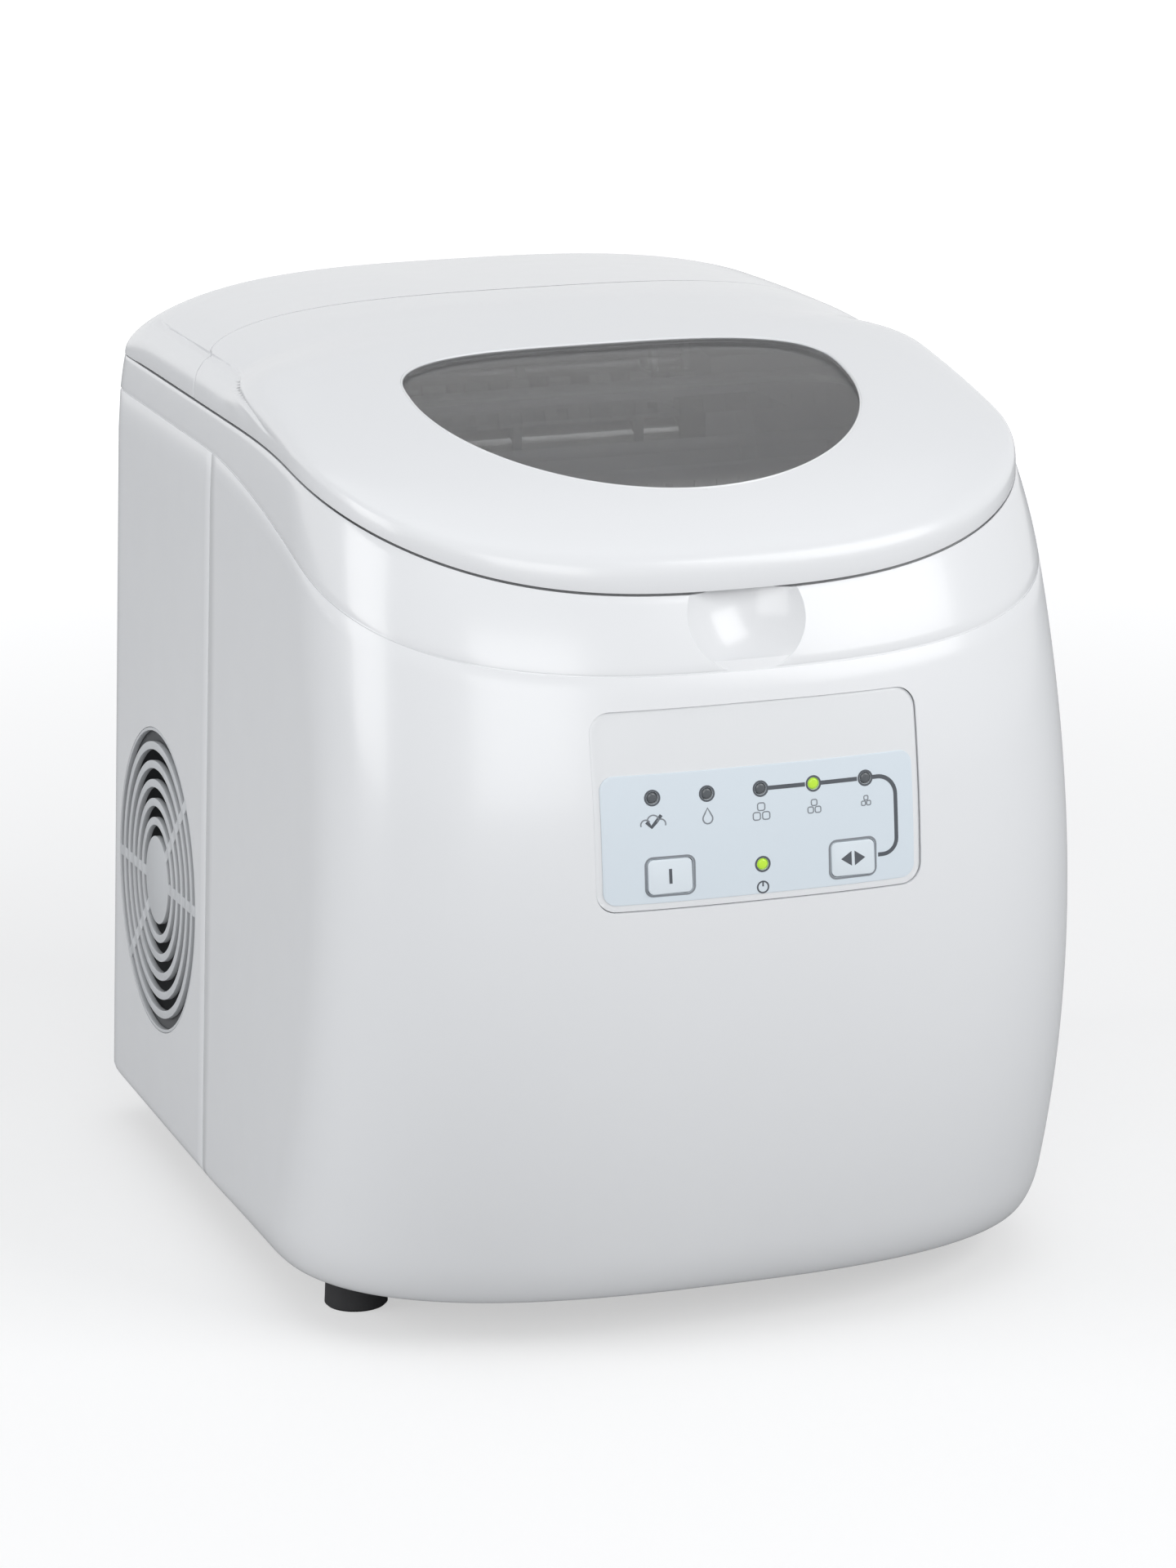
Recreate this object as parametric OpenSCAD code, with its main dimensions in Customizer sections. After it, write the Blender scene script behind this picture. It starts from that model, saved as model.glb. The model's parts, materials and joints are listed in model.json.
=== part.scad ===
// Portable bullet ice maker for a worktop.
// Millimetres. The origin is on the floor under the middle of the body:
// X to the right seen from the front, Y to the back, Z up.

/* [Body] */
// width across the lower edge of the shells
body_w = 366; // [345:1:390]
// depth from the belly of the front cover to the back wall
body_d = 472; // [450:1:495]
// height of the crown above the floor
body_h = 432; // [424:1:446]
// height of the lower edge of the shells above the floor
shell_bottom = 22; // [20:0.5:26]
// wall of the moulded shells
wall = 2.6; // [2.2:0.1:3]
// inward lean of each side per millimetre of height
side_draft = 0.041; // [0.03:0.001:0.045]
// height at which the front cover bulges most
belly_z = 213; // [195:1:225]
// radius of the front cover seen from the side
front_sweep = 415; // [380:5:460]
// depth of the rounded front corners at the belly
corner_reach = 105; // [95:1:115]
// gap at every seam between shells
seam_gap = 0.8; // [0.6:0.1:1.2]

/* [Top] */
// height of the crown above the lid gap
lid_rise = 42; // [38:1:46]
// fall of the lid gap from the rear to the front
lid_gap_drop = 47; // [43:1:50]
// height of the collar at the rear
collar_h = 16.5; // [13:0.5:19]
// fall of the lower collar seam from the rear to the front
collar_drop = 60; // [57:1:64]
// place of the lid hinge, front to back
hinge_y = 82; // [78:1:86]
// depth of the hinge pin below the crown
hinge_drop = 8.6; // [8.4:0.1:9]
// radius of the hinge pins
hinge_pin_r = 1.6; // [1.4:0.1:1.8]
// distance of each hinge from the middle
hinge_x = 70; // [60:1:80]
// half width of the window
window_rx = 104; // [96:1:110]
// place of the widest line of the window
window_y = -66; // [-70:1:-60]
// depth of the rear half of the window
window_rear = 50; // [44:1:54]
// depth of the front half of the window
window_front = 100; // [92:1:104]
// radius of the finger notch in the collar
notch_r = 31; // [27:1:32]

/* [Control panel] */
// width of the bezel
bezel_w = 149; // [140:1:154]
// height of the bezel
bezel_h = 86; // [82:1:90]
// height of the middle of the bezel above the floor
bezel_z = 256.5; // [254:0.5:259]
// width of each key
key_w = 20; // [18:0.5:22]
// height of each key
key_h = 15; // [13:0.5:16]
// travel of each key
key_travel = 0.8; // [0.6:0.1:1]
// clearance round each key
key_gap = 0.35; // [0.3:0.05:0.5]
// distance of each key from the middle
key_x = 41.9; // [40:0.1:44]
// height of the key row above the floor
key_z = 228; // [226:0.5:230]
// spacing of the indicator lights
light_pitch = 24.4; // [23:0.1:25]
// height of the row of indicator lights
light_z = 262.4; // [260:0.2:264]

/* [Fan] */
// radius of the round grille in the left side
grille_r = 74.6; // [70:0.1:76]
// place of the fan axis, front to back
fan_y = 135; // [132:0.5:138]
// height of the fan axis
fan_z = 145; // [142:0.5:149]
// number of concentric rows of slots in the grille
grille_rows = 6; // [5:1:7]
// radius of the fan blades
blade_r = 60; // [54:1:62]
// number of fan blades
blades = 7; // [5:1:9]

/* [Ice bay] */
// half width of the tank
tank_rx = 146; // [142:1:148]
// front face of the tank
tank_front = -166; // [-168:1:-160]
// rear face of the tank
tank_rear = 56; // [54:1:58]
// height of the tank floor above the floor
tank_z = 52; // [50:1:56]
// radius of the tank's front corners
tank_front_r = 60; // [56:1:64]
// radius of the tank's rear corners
tank_rear_r = 24; // [20:1:26]
// wall of the tank
tank_wall = 2.5; // [2:0.1:3]
// depth of the basket rim below the lid gap
basket_drop = 85; // [84:1:90]
// depth of the basket
basket_h = 92; // [80:1:96]
// rear face of the basket
basket_rear = -16; // [-20:1:-15]
// place of the evaporator, front to back
evap_y = 24; // [23:0.5:25]
// depth of the tray pivot below the lid gap
tray_drop = 45; // [44:0.5:47]
// inner radius of the water tray
tray_r = 19; // [18:0.2:19.4]
// number of freezing fingers
fingers = 8; // [6:1:9]
// radius of each freezing finger
finger_r = 4.5; // [4:0.1:5]
// spacing of the freezing fingers
finger_pitch = 20; // [18:0.5:20]
// radius of the running fits of the tray shaft and rake pins
shaft_r = 4; // [3.5:0.1:4.5]
// radial clearance of every running fit
fit = 0.06; // [0.04:0.01:0.1]

/* [Feet] */
// radius of each foot at the floor
foot_r = 14.5; // [12:0.5:15]
// distance of the front feet from the middle
foot_front_x = 146; // [142:1:149]
// place of the front feet
foot_front_y = -92; // [-97:1:-87]
// distance of the rear feet from the middle
foot_rear_x = 128; // [124:1:132]
// place of the rear feet
foot_rear_y = 142; // [136:1:146]

/* [Hidden] */
corner_form = 2.66;
corner_gain = 0.0006;
rear_form = 8;
rear_reach = 40;
rear_y = body_d / 2;
cabinet_seam_y = 42;
curl_in = 6;
side_curl_h = 6.5;
front_curl_h = 23;
shoulder_in = 2.6;
shoulder_h = 35;
gap_fall_y = 20;
collar_fall_y = 60;
crown_z = body_h;
lid_gap_z = body_h - lid_rise;
collar_z = lid_gap_z - collar_h;
basket_top = lid_gap_z - basket_drop;
tray_z = lid_gap_z - tray_drop;
crown_fall_y = 70;
rear_fall = 5.6;
roll_mid = 23.5;
roll_side = 83;
rear_dome_form = 2.92;
front_dome_form = 4.87;
lip_form = 8;
lid_edge = 0.9;
cover_edge = 0.3;
hinge_z = crown_z - hinge_drop;
ear_r = 11;
pan_t = 3;
pan_top = shell_bottom + pan_t;
deck_t = 2.5;
panel_slope = atan((bezel_z - belly_z) / front_sweep);
shaft_bore = shaft_r + fit;
$fn = 48;

// ---------------------------------------------------------------- skin of the body
function ramp(v) = let (c = min(1, max(0, v))) c * c * (3 - 2 * c);
function half_w(z) = body_w / 2 - side_draft * (z - shell_bottom);
function front_y(z) = -body_d / 2 + pow(z - belly_z, 2) / (2 * front_sweep);
function reach(z) = corner_reach + corner_gain * pow(z - belly_z, 2);
function curl(z, y) =
    let (h = side_curl_h + (front_curl_h - side_curl_h) * ramp((40 - y) / 170),
         d = min(1, max(0, (shell_bottom + h - z) / h)))
    curl_in * (1 - sqrt(1 - d * d));
function shoulder(z, y) = shoulder_in * pow(min(1.2, max(0, 1 + (z - gap_line(y)) / shoulder_h)), 2);
function tuck(z, y) = curl(z, y) + shoulder(z, y);
function spow(v, p) = sign(v) * pow(abs(v), p);

// A station is a place on the plan outline: the front arc and the rear arc take an
// angle from 0 at the right to 180 at the left, the two sides take a Y.
function skin(s, z, inset = 0) =
    s[0] == "front" ?
        let (yc = front_y(z) + reach(z),
             p = spow(sin(s[1]), 2 / corner_form),
             i = inset + tuck(z, yc - reach(z) * p))
        [(half_w(z) - i) * spow(cos(s[1]), 2 / corner_form), yc - (reach(z) - i) * p, z] :
    s[0] == "rear" ?
        let (i = inset + tuck(z, rear_y))
        [(half_w(z) - i) * spow(cos(s[1]), 2 / rear_form),
         rear_y - rear_reach + (rear_reach - i) * spow(sin(s[1]), 2 / rear_form), z] :
        let (x = half_w(z) - inset - tuck(z, s[1]))
        [s[0] == "left" ? -x : x, s[1], z];

// Side view of the two collar seams.
function gap_line(y) = lid_gap_z - lid_gap_drop * pow(max(0, gap_fall_y - y) / (body_d / 2), 3);
function collar_line(y) =
    collar_z - collar_drop * pow(max(0, collar_fall_y - y) / (collar_fall_y + body_d / 2 - 12), 1.8);
function on_gap(s, inset = 0, z = lid_gap_z - 20, n = 9) =
    n == 0 ? skin(s, z, inset) : on_gap(s, inset, (z + gap_line(skin(s, z, inset)[1])) / 2, n - 1);
function on_collar(s, inset = 0, z = collar_z - 23.5, n = 9) =
    n == 0 ? skin(s, z, inset) : on_collar(s, inset, (z + collar_line(skin(s, z, inset)[1])) / 2, n - 1);

// The dome: a superellipse across the body, squarer towards the front, on a crown
// that falls to the front lip. Its place across is a share c of the half width.
function crown_line(y) =
    crown_z - 0.008 * pow(max(0, crown_fall_y - y), 1.6) - rear_fall * pow(max(0, y - 90) / 147.5, 2);
function dome_form(y) =
    rear_dome_form + (front_dome_form - rear_dome_form) * ramp((33.5 - y) / 52.7);
function dome_w(y, t = 0) = half_w(gap_line(y)) - shoulder_in - t;
function dome_z(c, y, lip, t = 0) =
    let (m = dome_form(y),
         z0 = gap_line(y) + lid_edge,
         e = min(1, pow(abs(c), m) * (1 - lip) + lip))
    z0 + (crown_line(y) - t - z0) * pow(1 - e, 1 / m);
function arc_angle(c, form) = acos(min(1, max(-1, spow(c, form / 2))));
function lip_share(y, edge) =
    let (start = front_y(edge[2]) + reach(edge[2]))
    pow(min(1, max(0, (start - y) / max(0.01, start - edge[1]))), lip_form);
function top_z(x, y) =
    let (c = x / dome_w(y))
    dome_z(c, y, lip_share(y, on_gap(["front", arc_angle(c, corner_form)])));

// ---------------------------------------------------------------- moulded sheets
function quad(a, b, c, d) = [[a, b, c], [a, c, d]];

// Closed sheet between an outer and an inner grid of points. Rows run upwards and
// columns run from left by the front to right.
module sheet(p, q, closed = false) {
    r = len(p);
    c = len(p[0]);
    n = r * c;
    cc = closed ? c - 1 : c - 2;
    id = function(i, j) i * c + j % c;
    faces = concat(
        [for (i = [0:r - 2], j = [0:cc]) each quad(id(i, j), id(i + 1, j), id(i + 1, j + 1), id(i, j + 1))],
        [for (i = [0:r - 2], j = [0:cc])
            each quad(n + id(i, j), n + id(i, j + 1), n + id(i + 1, j + 1), n + id(i + 1, j))],
        [for (j = [0:cc]) each quad(id(0, j), id(0, j + 1), n + id(0, j + 1), n + id(0, j))],
        [for (j = [0:cc])
            each quad(id(r - 1, j + 1), id(r - 1, j), n + id(r - 1, j), n + id(r - 1, j + 1))],
        closed ? [] : [for (i = [0:r - 2])
            each quad(id(i + 1, 0), id(i, 0), n + id(i, 0), n + id(i + 1, 0))],
        closed ? [] : [for (i = [0:r - 2])
            each quad(id(i, c - 1), id(i + 1, c - 1), n + id(i + 1, c - 1), n + id(i, c - 1))]);
    polyhedron([for (g = [p, q], row = g) each row], faces);
}

// Moulded lid: each column runs from the front outline back to the cut at y_cut, with
// the rows close together along the lip.
module lid_sheet(y_cut, cols, rows) {
    shares = [for (j = [0:cols - 1]) -spow(cos(180 * j / (cols - 1)), 2 / 3.2)];
    grid = function(t)
        let (edges = [for (c = shares) on_gap(["front", arc_angle(c, corner_form)], t)])
        [for (i = [0:rows - 1]) [for (j = [0:cols - 1])
            let (y = edges[j][1] + (y_cut - edges[j][1]) * pow(i / (rows - 1), 2.2))
            [shares[j] * dome_w(y, t), y, dome_z(shares[j], y, lip_share(y, edges[j]), t)]]];
    sheet(grid(0), grid(wall));
}

// Moulded rear cover: each column rolls down to the back wall over a length that
// grows towards the sides.
module rear_sheet(y_cut, cols) {
    shares = [for (j = [0:cols - 1]) spow(cos(180 * j / (cols - 1)), 2 / 3.2)];
    roll = [90, 78, 64, 48, 32, 16, 0];
    z_end = lid_gap_z + cover_edge;
    roll_y = function(c) rear_y - roll_mid - (roll_side - roll_mid) * pow(abs(c), 3);
    wall_y = function(c, t) skin(["rear", arc_angle(c, rear_form)], z_end, t)[1];
    rolled = function(c, b, t)
        let (y = roll_y(c), z = dome_z(c, y, 0, t))
        [c * dome_w(y, t), y + (wall_y(c, t) - y) * sin(b), z_end + (z - z_end) * pow(cos(b), 0.8)];
    flat = function(c, k, t)
        let (y = roll_y(c) + (y_cut - roll_y(c)) * k / 3)
        [c * dome_w(y, t), y, dome_z(c, y, 0, t)];
    grid = function(t) concat(
        [for (b = roll) [for (c = shares) rolled(c, b, t)]],
        [for (k = [1:3]) [for (c = shares) flat(c, k, t)]]);
    sheet(grid(0), grid(wall));
}

// Sheet that follows the front cover between two depths below its skin.
module front_patch(d0, d1, half_x, z0, z1, cols = 13, rows = 5) {
    at = function(u, z, d)
        let (x = half_x * u, w = half_w(z), p = pow(1 - pow(abs(x / w), corner_form), 1 / corner_form))
        [x, front_y(z) + reach(z) - reach(z) * p + d, z];
    grid = function(d) [for (i = [0:rows - 1]) [for (j = [0:cols - 1])
        at(-1 + 2 * j / (cols - 1), z0 + (z1 - z0) * i / (rows - 1), d)]];
    sheet(grid(d0), grid(d1));
}

// Upright prism through the front, with rounded corners.
module front_prism(w, h, r, x, z) {
    translate([x, -body_d / 2 + 60, z])
        rotate([90, 0, 0])
            linear_extrude(90)
                round_rect(w, h, r);
}

module round_rect(w, h, r) {
    square([w, h - 2 * r], center = true);
    square([w - 2 * r, h], center = true);
    for (x = [-1, 1], y = [-1, 1])
        translate([x * (w / 2 - r), y * (h / 2 - r)])
            circle(r);
}

front_stations = concat(
    [["left", cabinet_seam_y], ["left", 10], ["left", -25]],
    [for (k = [0:22]) ["front", 180 - 180 * k / 22]],
    [["right", -25], ["right", 10], ["right", cabinet_seam_y]]);
function rear_stations(y) = concat(
    [["right", y]],
    [for (k = [0:12]) ["rear", 180 * k / 12]],
    [["left", y]]);

// ---------------------------------------------------------------- small helpers
function front_at(x, z) =
    front_y(z) + reach(z) * (1 - pow(1 - pow(abs(x) / half_w(z), corner_form), 1 / corner_form));
panel_y = front_y(bezel_z);
board_depth = 15;
led_r = 2.4;
rake_y = -4;
rake_z = lid_gap_z - 21;
rake_reach = 31;
rake_pin_r = 3;
manifold_r = 7;
manifold_z = lid_gap_z - 20;
tray_x0 = -112;
tray_x1 = 56;
finger_x0 = (tray_x0 + tray_x1) / 2 - finger_pitch * (fingers - 1) / 2;
motor_x0 = 62;
motor_x1 = 104;
tray_motor_z0 = tray_z - 15;
bracket_z = lid_gap_z - 9;
pipe_r = 3;
pipe_bend = 15;
discharge_x = 48;
suction_x = -96;
pipe_y = 150;
can_x = 70;
can_y = 150;
can_r = 56;
can_h = 158;
mount_h = 11;
coil_top = 232;
pump_x = (motor_x0 + motor_x1) / 2;
pump_y = 32;
pump_top = tank_z + 47;
drain_x = 60;
drain_y = -70;
drain_r = 8;
basket_rx = tank_rx - 10;
basket_r = tank_front_r - 12;
basket_front = tank_front + 9;
rail_z = basket_top - 3;
fan_lean = atan(side_draft);
shroud_depth = 40;
grille_hub = 0.3 * grille_r;
grille_pitch = (0.985 * grille_r - grille_hub) / grille_rows;
notch_depth = 13;
notch_ball = (notch_r * notch_r + notch_depth * notch_depth) / (2 * notch_depth);
notch_z = lid_gap_z - lid_gap_drop + 5;
clear_x = body_w / 2 + 17;
clear_y = body_d / 2 + 4;
notch_y = front_y(notch_z - 10) + notch_depth - notch_ball;
inlet_x = -110;
inlet_z = 60;
inlet_r = 9;

// Local frame on the control panel: x across, y up the panel, z out of it.
module on_panel() {
    translate([0, panel_y, bezel_z])
        rotate([90 - panel_slope, 0, 0])
            children();
}
function panel_up(x, z) =
    (front_at(x, z) - panel_y) * sin(panel_slope) + (z - bezel_z) * cos(panel_slope);
function panel_out(x, z) =
    -(front_at(x, z) - panel_y) * cos(panel_slope) + (z - bezel_z) * sin(panel_slope);

// Local frame on the left side: z out of it, x up, y to the back.
module on_left() {
    translate([-half_w(fan_z), fan_y, fan_z])
        rotate([0, -90 + fan_lean, 0])
            children();
}

module along_x(x0, x1, y, z, r) {
    translate([x0, y, z])
        rotate([0, 90, 0])
            cylinder(r = r, h = x1 - x0);
}

module block(x0, x1, y0, y1, z0, z1) {
    translate([x0, y0, z0])
        cube([x1 - x0, y1 - y0, z1 - z0]);
}

// Closed solid through a list of rings, each a loop of points, with a cap at each end.
module stack(rings) {
    n = len(rings[0]);
    m = len(rings);
    middle = function(r) [for (k = [0:2]) [for (p = r) p[k]] * [for (p = r) 1 / n]];
    pts = concat([for (r = rings) each r], [middle(rings[0]), middle(rings[m - 1])]);
    polyhedron(pts, concat(
        [for (i = [0:m - 2], j = [0:n - 1])
            each quad(i * n + j, (i + 1) * n + j, (i + 1) * n + (j + 1) % n, i * n + (j + 1) % n)],
        [for (j = [0:n - 1]) [m * n, j, (j + 1) % n]],
        [for (j = [0:n - 1]) [m * n + 1, (m - 1) * n + (j + 1) % n, (m - 1) * n + j]]));
}

// ---------------------------------------------------------------- outlines
collar_stations = concat(
    [for (k = [0:22]) ["front", 180 - 180 * k / 22]],
    [for (y = [-25, 10, 50, 120]) ["right", y]],
    [for (k = [0:12]) ["rear", 180 * k / 12]],
    [for (y = [120, 50, 10, -25]) ["left", y]]);
cabinet_stations = rear_stations(cabinet_seam_y + seam_gap);
low_rows = [0, 1.5, 4, 9, 16, 28];
function rise(z0, z1, n) = [for (k = [1:n]) z0 + (z1 - z0) * k / n];
function cover_rows(s) = let (g = on_collar(s))
    concat([for (d = low_rows) shell_bottom + d], rise(shell_bottom + 28, g[2] - seam_gap, 7));
function cabinet_rows(s) = let (g = on_collar(s))
    concat([for (d = [0, 1.5, 3.5, 6]) shell_bottom + d], rise(shell_bottom + 6, g[2] - seam_gap, 2));
function collar_rows(s) = let (a = on_collar(s)[2] + 0.1, b = on_gap(s)[2] - 0.3)
    [for (k = [0:3]) a + (b - a) * k / 3];
function window_pt(a, k, depth) =
    let (x = window_rx * k * spow(cos(a), a < 180 ? 2 / 3.2 : 1),
         y = window_y + k * (a < 180 ? window_rear * spow(sin(a), 2 / 3.2) : window_front * sin(a)))
    [x, y, top_z(x, y) - depth];

module tank_outline(inset) {
    w = tank_rx - inset;
    y0 = tank_front + inset;
    y1 = tank_rear - inset;
    rf = tank_front_r - inset;
    rr = tank_rear_r - inset;
    for (side = [-1, 1]) {
        translate([side * (w - rf), y0 + rf])
            circle(rf);
        translate([side * (w - rr), y1 - rr])
            circle(rr);
    }
    translate([rf - w, y0])
        square([2 * (w - rf), rf]);
    translate([-w, y0 + rf])
        square([2 * w, y1 - rr - y0 - rf]);
    translate([rr - w, y1 - rr])
        square([2 * (w - rr), rr]);
}

// Solid below the line that lies d under the lid gap, over the whole body.
module below_gap(d) {
    ys = concat([for (y = [-clear_y:15:15]) y], [clear_y]);
    rotate([90, 0, 90])
        translate([0, 0, -clear_x])
            linear_extrude(2 * clear_x)
                polygon(concat([for (y = ys) [y, gap_line(y) - d]], [[clear_y, 0], [-clear_y, 0]]));
}

// ---------------------------------------------------------------- shells
module base_pan() {
    color("#9a9da1")
        difference() {
            union() {
                translate([0, 0, shell_bottom])
                    linear_extrude(pan_t)
                        polygon([for (s = concat(front_stations, cabinet_stations))
                            let (p = skin(s, shell_bottom, wall + 0.4)) [p[0], p[1]]]);
                for (x = [-105, 105], y = [-120, 20])
                    translate([x, y, pan_top - 0.5])
                        cylinder(r = 9, h = tank_z - pan_top + 0.5);
            }
            translate([drain_x, drain_y, 0])
                cylinder(r = drain_r + 3.5, h = 60);
        }
}

module rear_cabinet() {
    color("#eceef0")
        difference() {
            sheet(
                [for (k = [0:5]) [for (s = cabinet_stations) skin(s, cabinet_rows(s)[k])]],
                [for (k = [0:5]) [for (s = cabinet_stations) skin(s, cabinet_rows(s)[k], wall)]]);
            on_left()
                translate([0, 0, -12])
                    cylinder(r = grille_r + 0.3, h = 30);
            for (z = [80:12:212], y = [88, 146])
                block(clear_x - 40, clear_x, y, y + 48, z, z + 4.5);
            for (z = [240:12:324])
                block(-55, 55, clear_y - 25, clear_y, z, z + 4.5);
            translate([inlet_x, rear_y - 36, inlet_z])
                rotate([-90, 0, 0])
                    cylinder(r = inlet_r + 0.2, h = 60);
        }
}

module front_cover() {
    color("#f1f3f4")
        difference() {
            sheet(
                [for (k = [0:12]) [for (s = front_stations) skin(s, cover_rows(s)[k])]],
                [for (k = [0:12]) [for (s = front_stations) skin(s, cover_rows(s)[k], wall)]]);
            front_prism(bezel_w + 0.6, bezel_h + 0.6, 9.3, 0, bezel_z);
        }
}

module collar_core(inset) {
    stack([
        [for (s = collar_stations) skin(s, collar_rows(s)[0] - 20, inset)],
        [for (s = collar_stations) skin(s, collar_rows(s)[3], inset)]]);
}

module top_collar() {
    color("#eff1f3")
        difference() {
            union() {
                sheet(
                    [for (k = [0:3]) [for (s = collar_stations) skin(s, collar_rows(s)[k])]],
                    [for (k = [0:3]) [for (s = collar_stations) skin(s, collar_rows(s)[k], wall)]],
                    closed = true);
                intersection() {
                    difference() {
                        below_gap(3);
                        below_gap(3 + deck_t);
                    }
                    translate([0, 0, lid_gap_z - 140])
                        linear_extrude(200)
                            difference() {
                                polygon([for (s = collar_stations)
                                    let (p = on_gap(s, wall / 2)) [p[0], p[1]]]);
                                tank_outline(tank_wall);
                            }
                }
                intersection() {
                    translate([0, notch_y, notch_z])
                        sphere(notch_ball + wall);
                    below_gap(3);
                    block(-notch_r - 9, notch_r + 9, -body_d / 2, 66 - body_d / 2,
                          collar_z - collar_drop + 0.2, lid_gap_z - 30);
                    collar_core(wall / 2);
                }
            }
            translate([0, notch_y, notch_z])
                sphere(notch_ball);
        }
}

module rear_top_cover() {
    color("#f1f3f4")
        difference() {
            rear_sheet(hinge_y + seam_gap, 19);
            along_x(-clear_x, clear_x, hinge_y, hinge_z, ear_r + seam_gap);
        }
}

// ---------------------------------------------------------------- lid
module lid_shell() {
    color("#f3f4f5")
        difference() {
            union() {
                difference() {
                    lid_sheet(hinge_y + ear_r + 4, 25, 15);
                    difference() {
                        block(-clear_x, clear_x, hinge_y, hinge_y + 30, lid_gap_z - 90, lid_gap_z + 70);
                        along_x(-clear_x - 1, clear_x + 1, hinge_y, hinge_z, ear_r);
                    }
                }
                for (x = [-hinge_x, hinge_x])
                    along_x(x - 6, x + 6, hinge_y, hinge_z, 4.6);
            }
            linear_extrude(body_h + 68)
                polygon([for (a = [0:9:351])
                    let (p = window_pt(a, 1 + 0.4 / window_rx, 0)) [p[0], p[1]]]);
            along_x(-hinge_x - 30, hinge_x + 30, hinge_y, hinge_z, hinge_pin_r + fit);
        }
}

module lid_window() {
    ring = function(k, d) [for (a = [351:-9:0]) window_pt(a, k, d)];
    flange = 1 + 6 / window_rx;
    color("#6d7276", 0.6)
        stack([ring(0.3, 5.4), ring(0.7, 5.4), ring(flange, 5.4), ring(flange, 3.1),
               ring(1, 3.1), ring(1, 0.4), ring(0.7, 0.4), ring(0.3, 0.4)]);
}

module hinge_bracket(side) {
    x = side * hinge_x;
    color("#c9ccd0")
        difference() {
            union() {
                block(x - 11, x + 11, hinge_y - 9, hinge_y + 9, lid_gap_z - 3, lid_gap_z - 1);
                for (dx = [-9.5, 6.5]) {
                    block(x + dx, x + dx + 3, hinge_y - 2.8, hinge_y + 2.8, lid_gap_z - 1, hinge_z);
                    along_x(x + dx, x + dx + 3, hinge_y, hinge_z, hinge_pin_r + 1.2);
                }
            }
            along_x(x - 20, x + 20, hinge_y, hinge_z, hinge_pin_r + fit);
        }
}

module hinge_pin(side) {
    color("#a6a9ad")
        along_x(side * hinge_x - 10, side * hinge_x + 10, hinge_y, hinge_z, hinge_pin_r);
}

// ---------------------------------------------------------------- control panel
module key_shape(side, grow) {
    on_panel()
        translate([side * key_x, panel_up(key_x, key_z), panel_out(key_x, key_z) - 7])
            linear_extrude(grow > 0 ? 30 : 6.6)
                round_rect(key_w + 2 * grow, key_h + 2 * grow, 2.5 + grow);
}

module light_shape(i, grow) {
    x = i < 5 ? (i - 2) * light_pitch : 0;
    z = i < 5 ? light_z : key_z + 1.5;
    on_panel()
        translate([x, panel_up(x, z), -board_depth])
            cylinder(r = led_r + grow, h = grow > 0 ? 40 : board_depth + panel_out(x, z) - 0.7);
}

module control_bezel() {
    color("#e4e8ea")
        difference() {
            union() {
                intersection() {
                    front_patch(1.4, 4.2, bezel_w / 2 + 3, bezel_z - bezel_h / 2 - 3, bezel_z + bezel_h / 2 + 3);
                    front_prism(bezel_w, bezel_h, 9, 0, bezel_z);
                }
                for (x = [-62, 62], u = [-34, 34])
                    on_panel()
                        translate([x, u, -board_depth])
                            cylinder(r = 3, h = board_depth - 6);
            }
            for (side = [-1, 1])
                key_shape(side, key_gap);
            for (i = [0:5])
                light_shape(i, 0.25);
        }
}

module control_label() {
    color("#dbe6ee")
        difference() {
            intersection() {
                front_patch(0.9, 1.4, bezel_w / 2 + 3, bezel_z - bezel_h / 2 - 3, bezel_z + bezel_h / 2 + 3);
                front_prism(143, 56, 6, 0, bezel_z - bezel_h / 2 + 31);
            }
            for (side = [-1, 1])
                key_shape(side, key_gap);
            for (i = [0:5])
                light_shape(i, 0.25);
        }
}

module power_button() {
    color("#e3edf3")
        key_shape(-1, 0);
}

module select_button() {
    color("#e3edf3")
        key_shape(1, 0);
}

module indicator_light(i) {
    color(i == 3 || i == 5 ? "#a6c83a" : "#5b6064")
        light_shape(i, 0);
}

module control_board() {
    color("#3f7d4a")
        on_panel() {
            translate([0, 0, -board_depth - 1.6])
                linear_extrude(1.6)
                    round_rect(134, 78, 3);
            for (side = [-1, 1])
                translate([side * key_x, panel_up(key_x, key_z), -board_depth])
                    linear_extrude(board_depth + panel_out(key_x, key_z) - 7 - key_travel - 0.2)
                        square(6, center = true);
        }
}

// ---------------------------------------------------------------- fan and condenser
module side_grille() {
    color("#d5d9dc")
        on_left()
            translate([0, 0, -wall])
                linear_extrude(wall)
                    union() {
                        difference() {
                            circle(grille_r);
                            for (k = [0:grille_rows - 1])
                                difference() {
                                    circle(grille_hub + grille_pitch * (k + 1) - grille_pitch * 0.2);
                                    circle(grille_hub + grille_pitch * (k + 0.25));
                                }
                        }
                        for (a = [85, 137])
                            rotate(a)
                                square([5, 2 * grille_r - 2], center = true);
                    }
}

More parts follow.
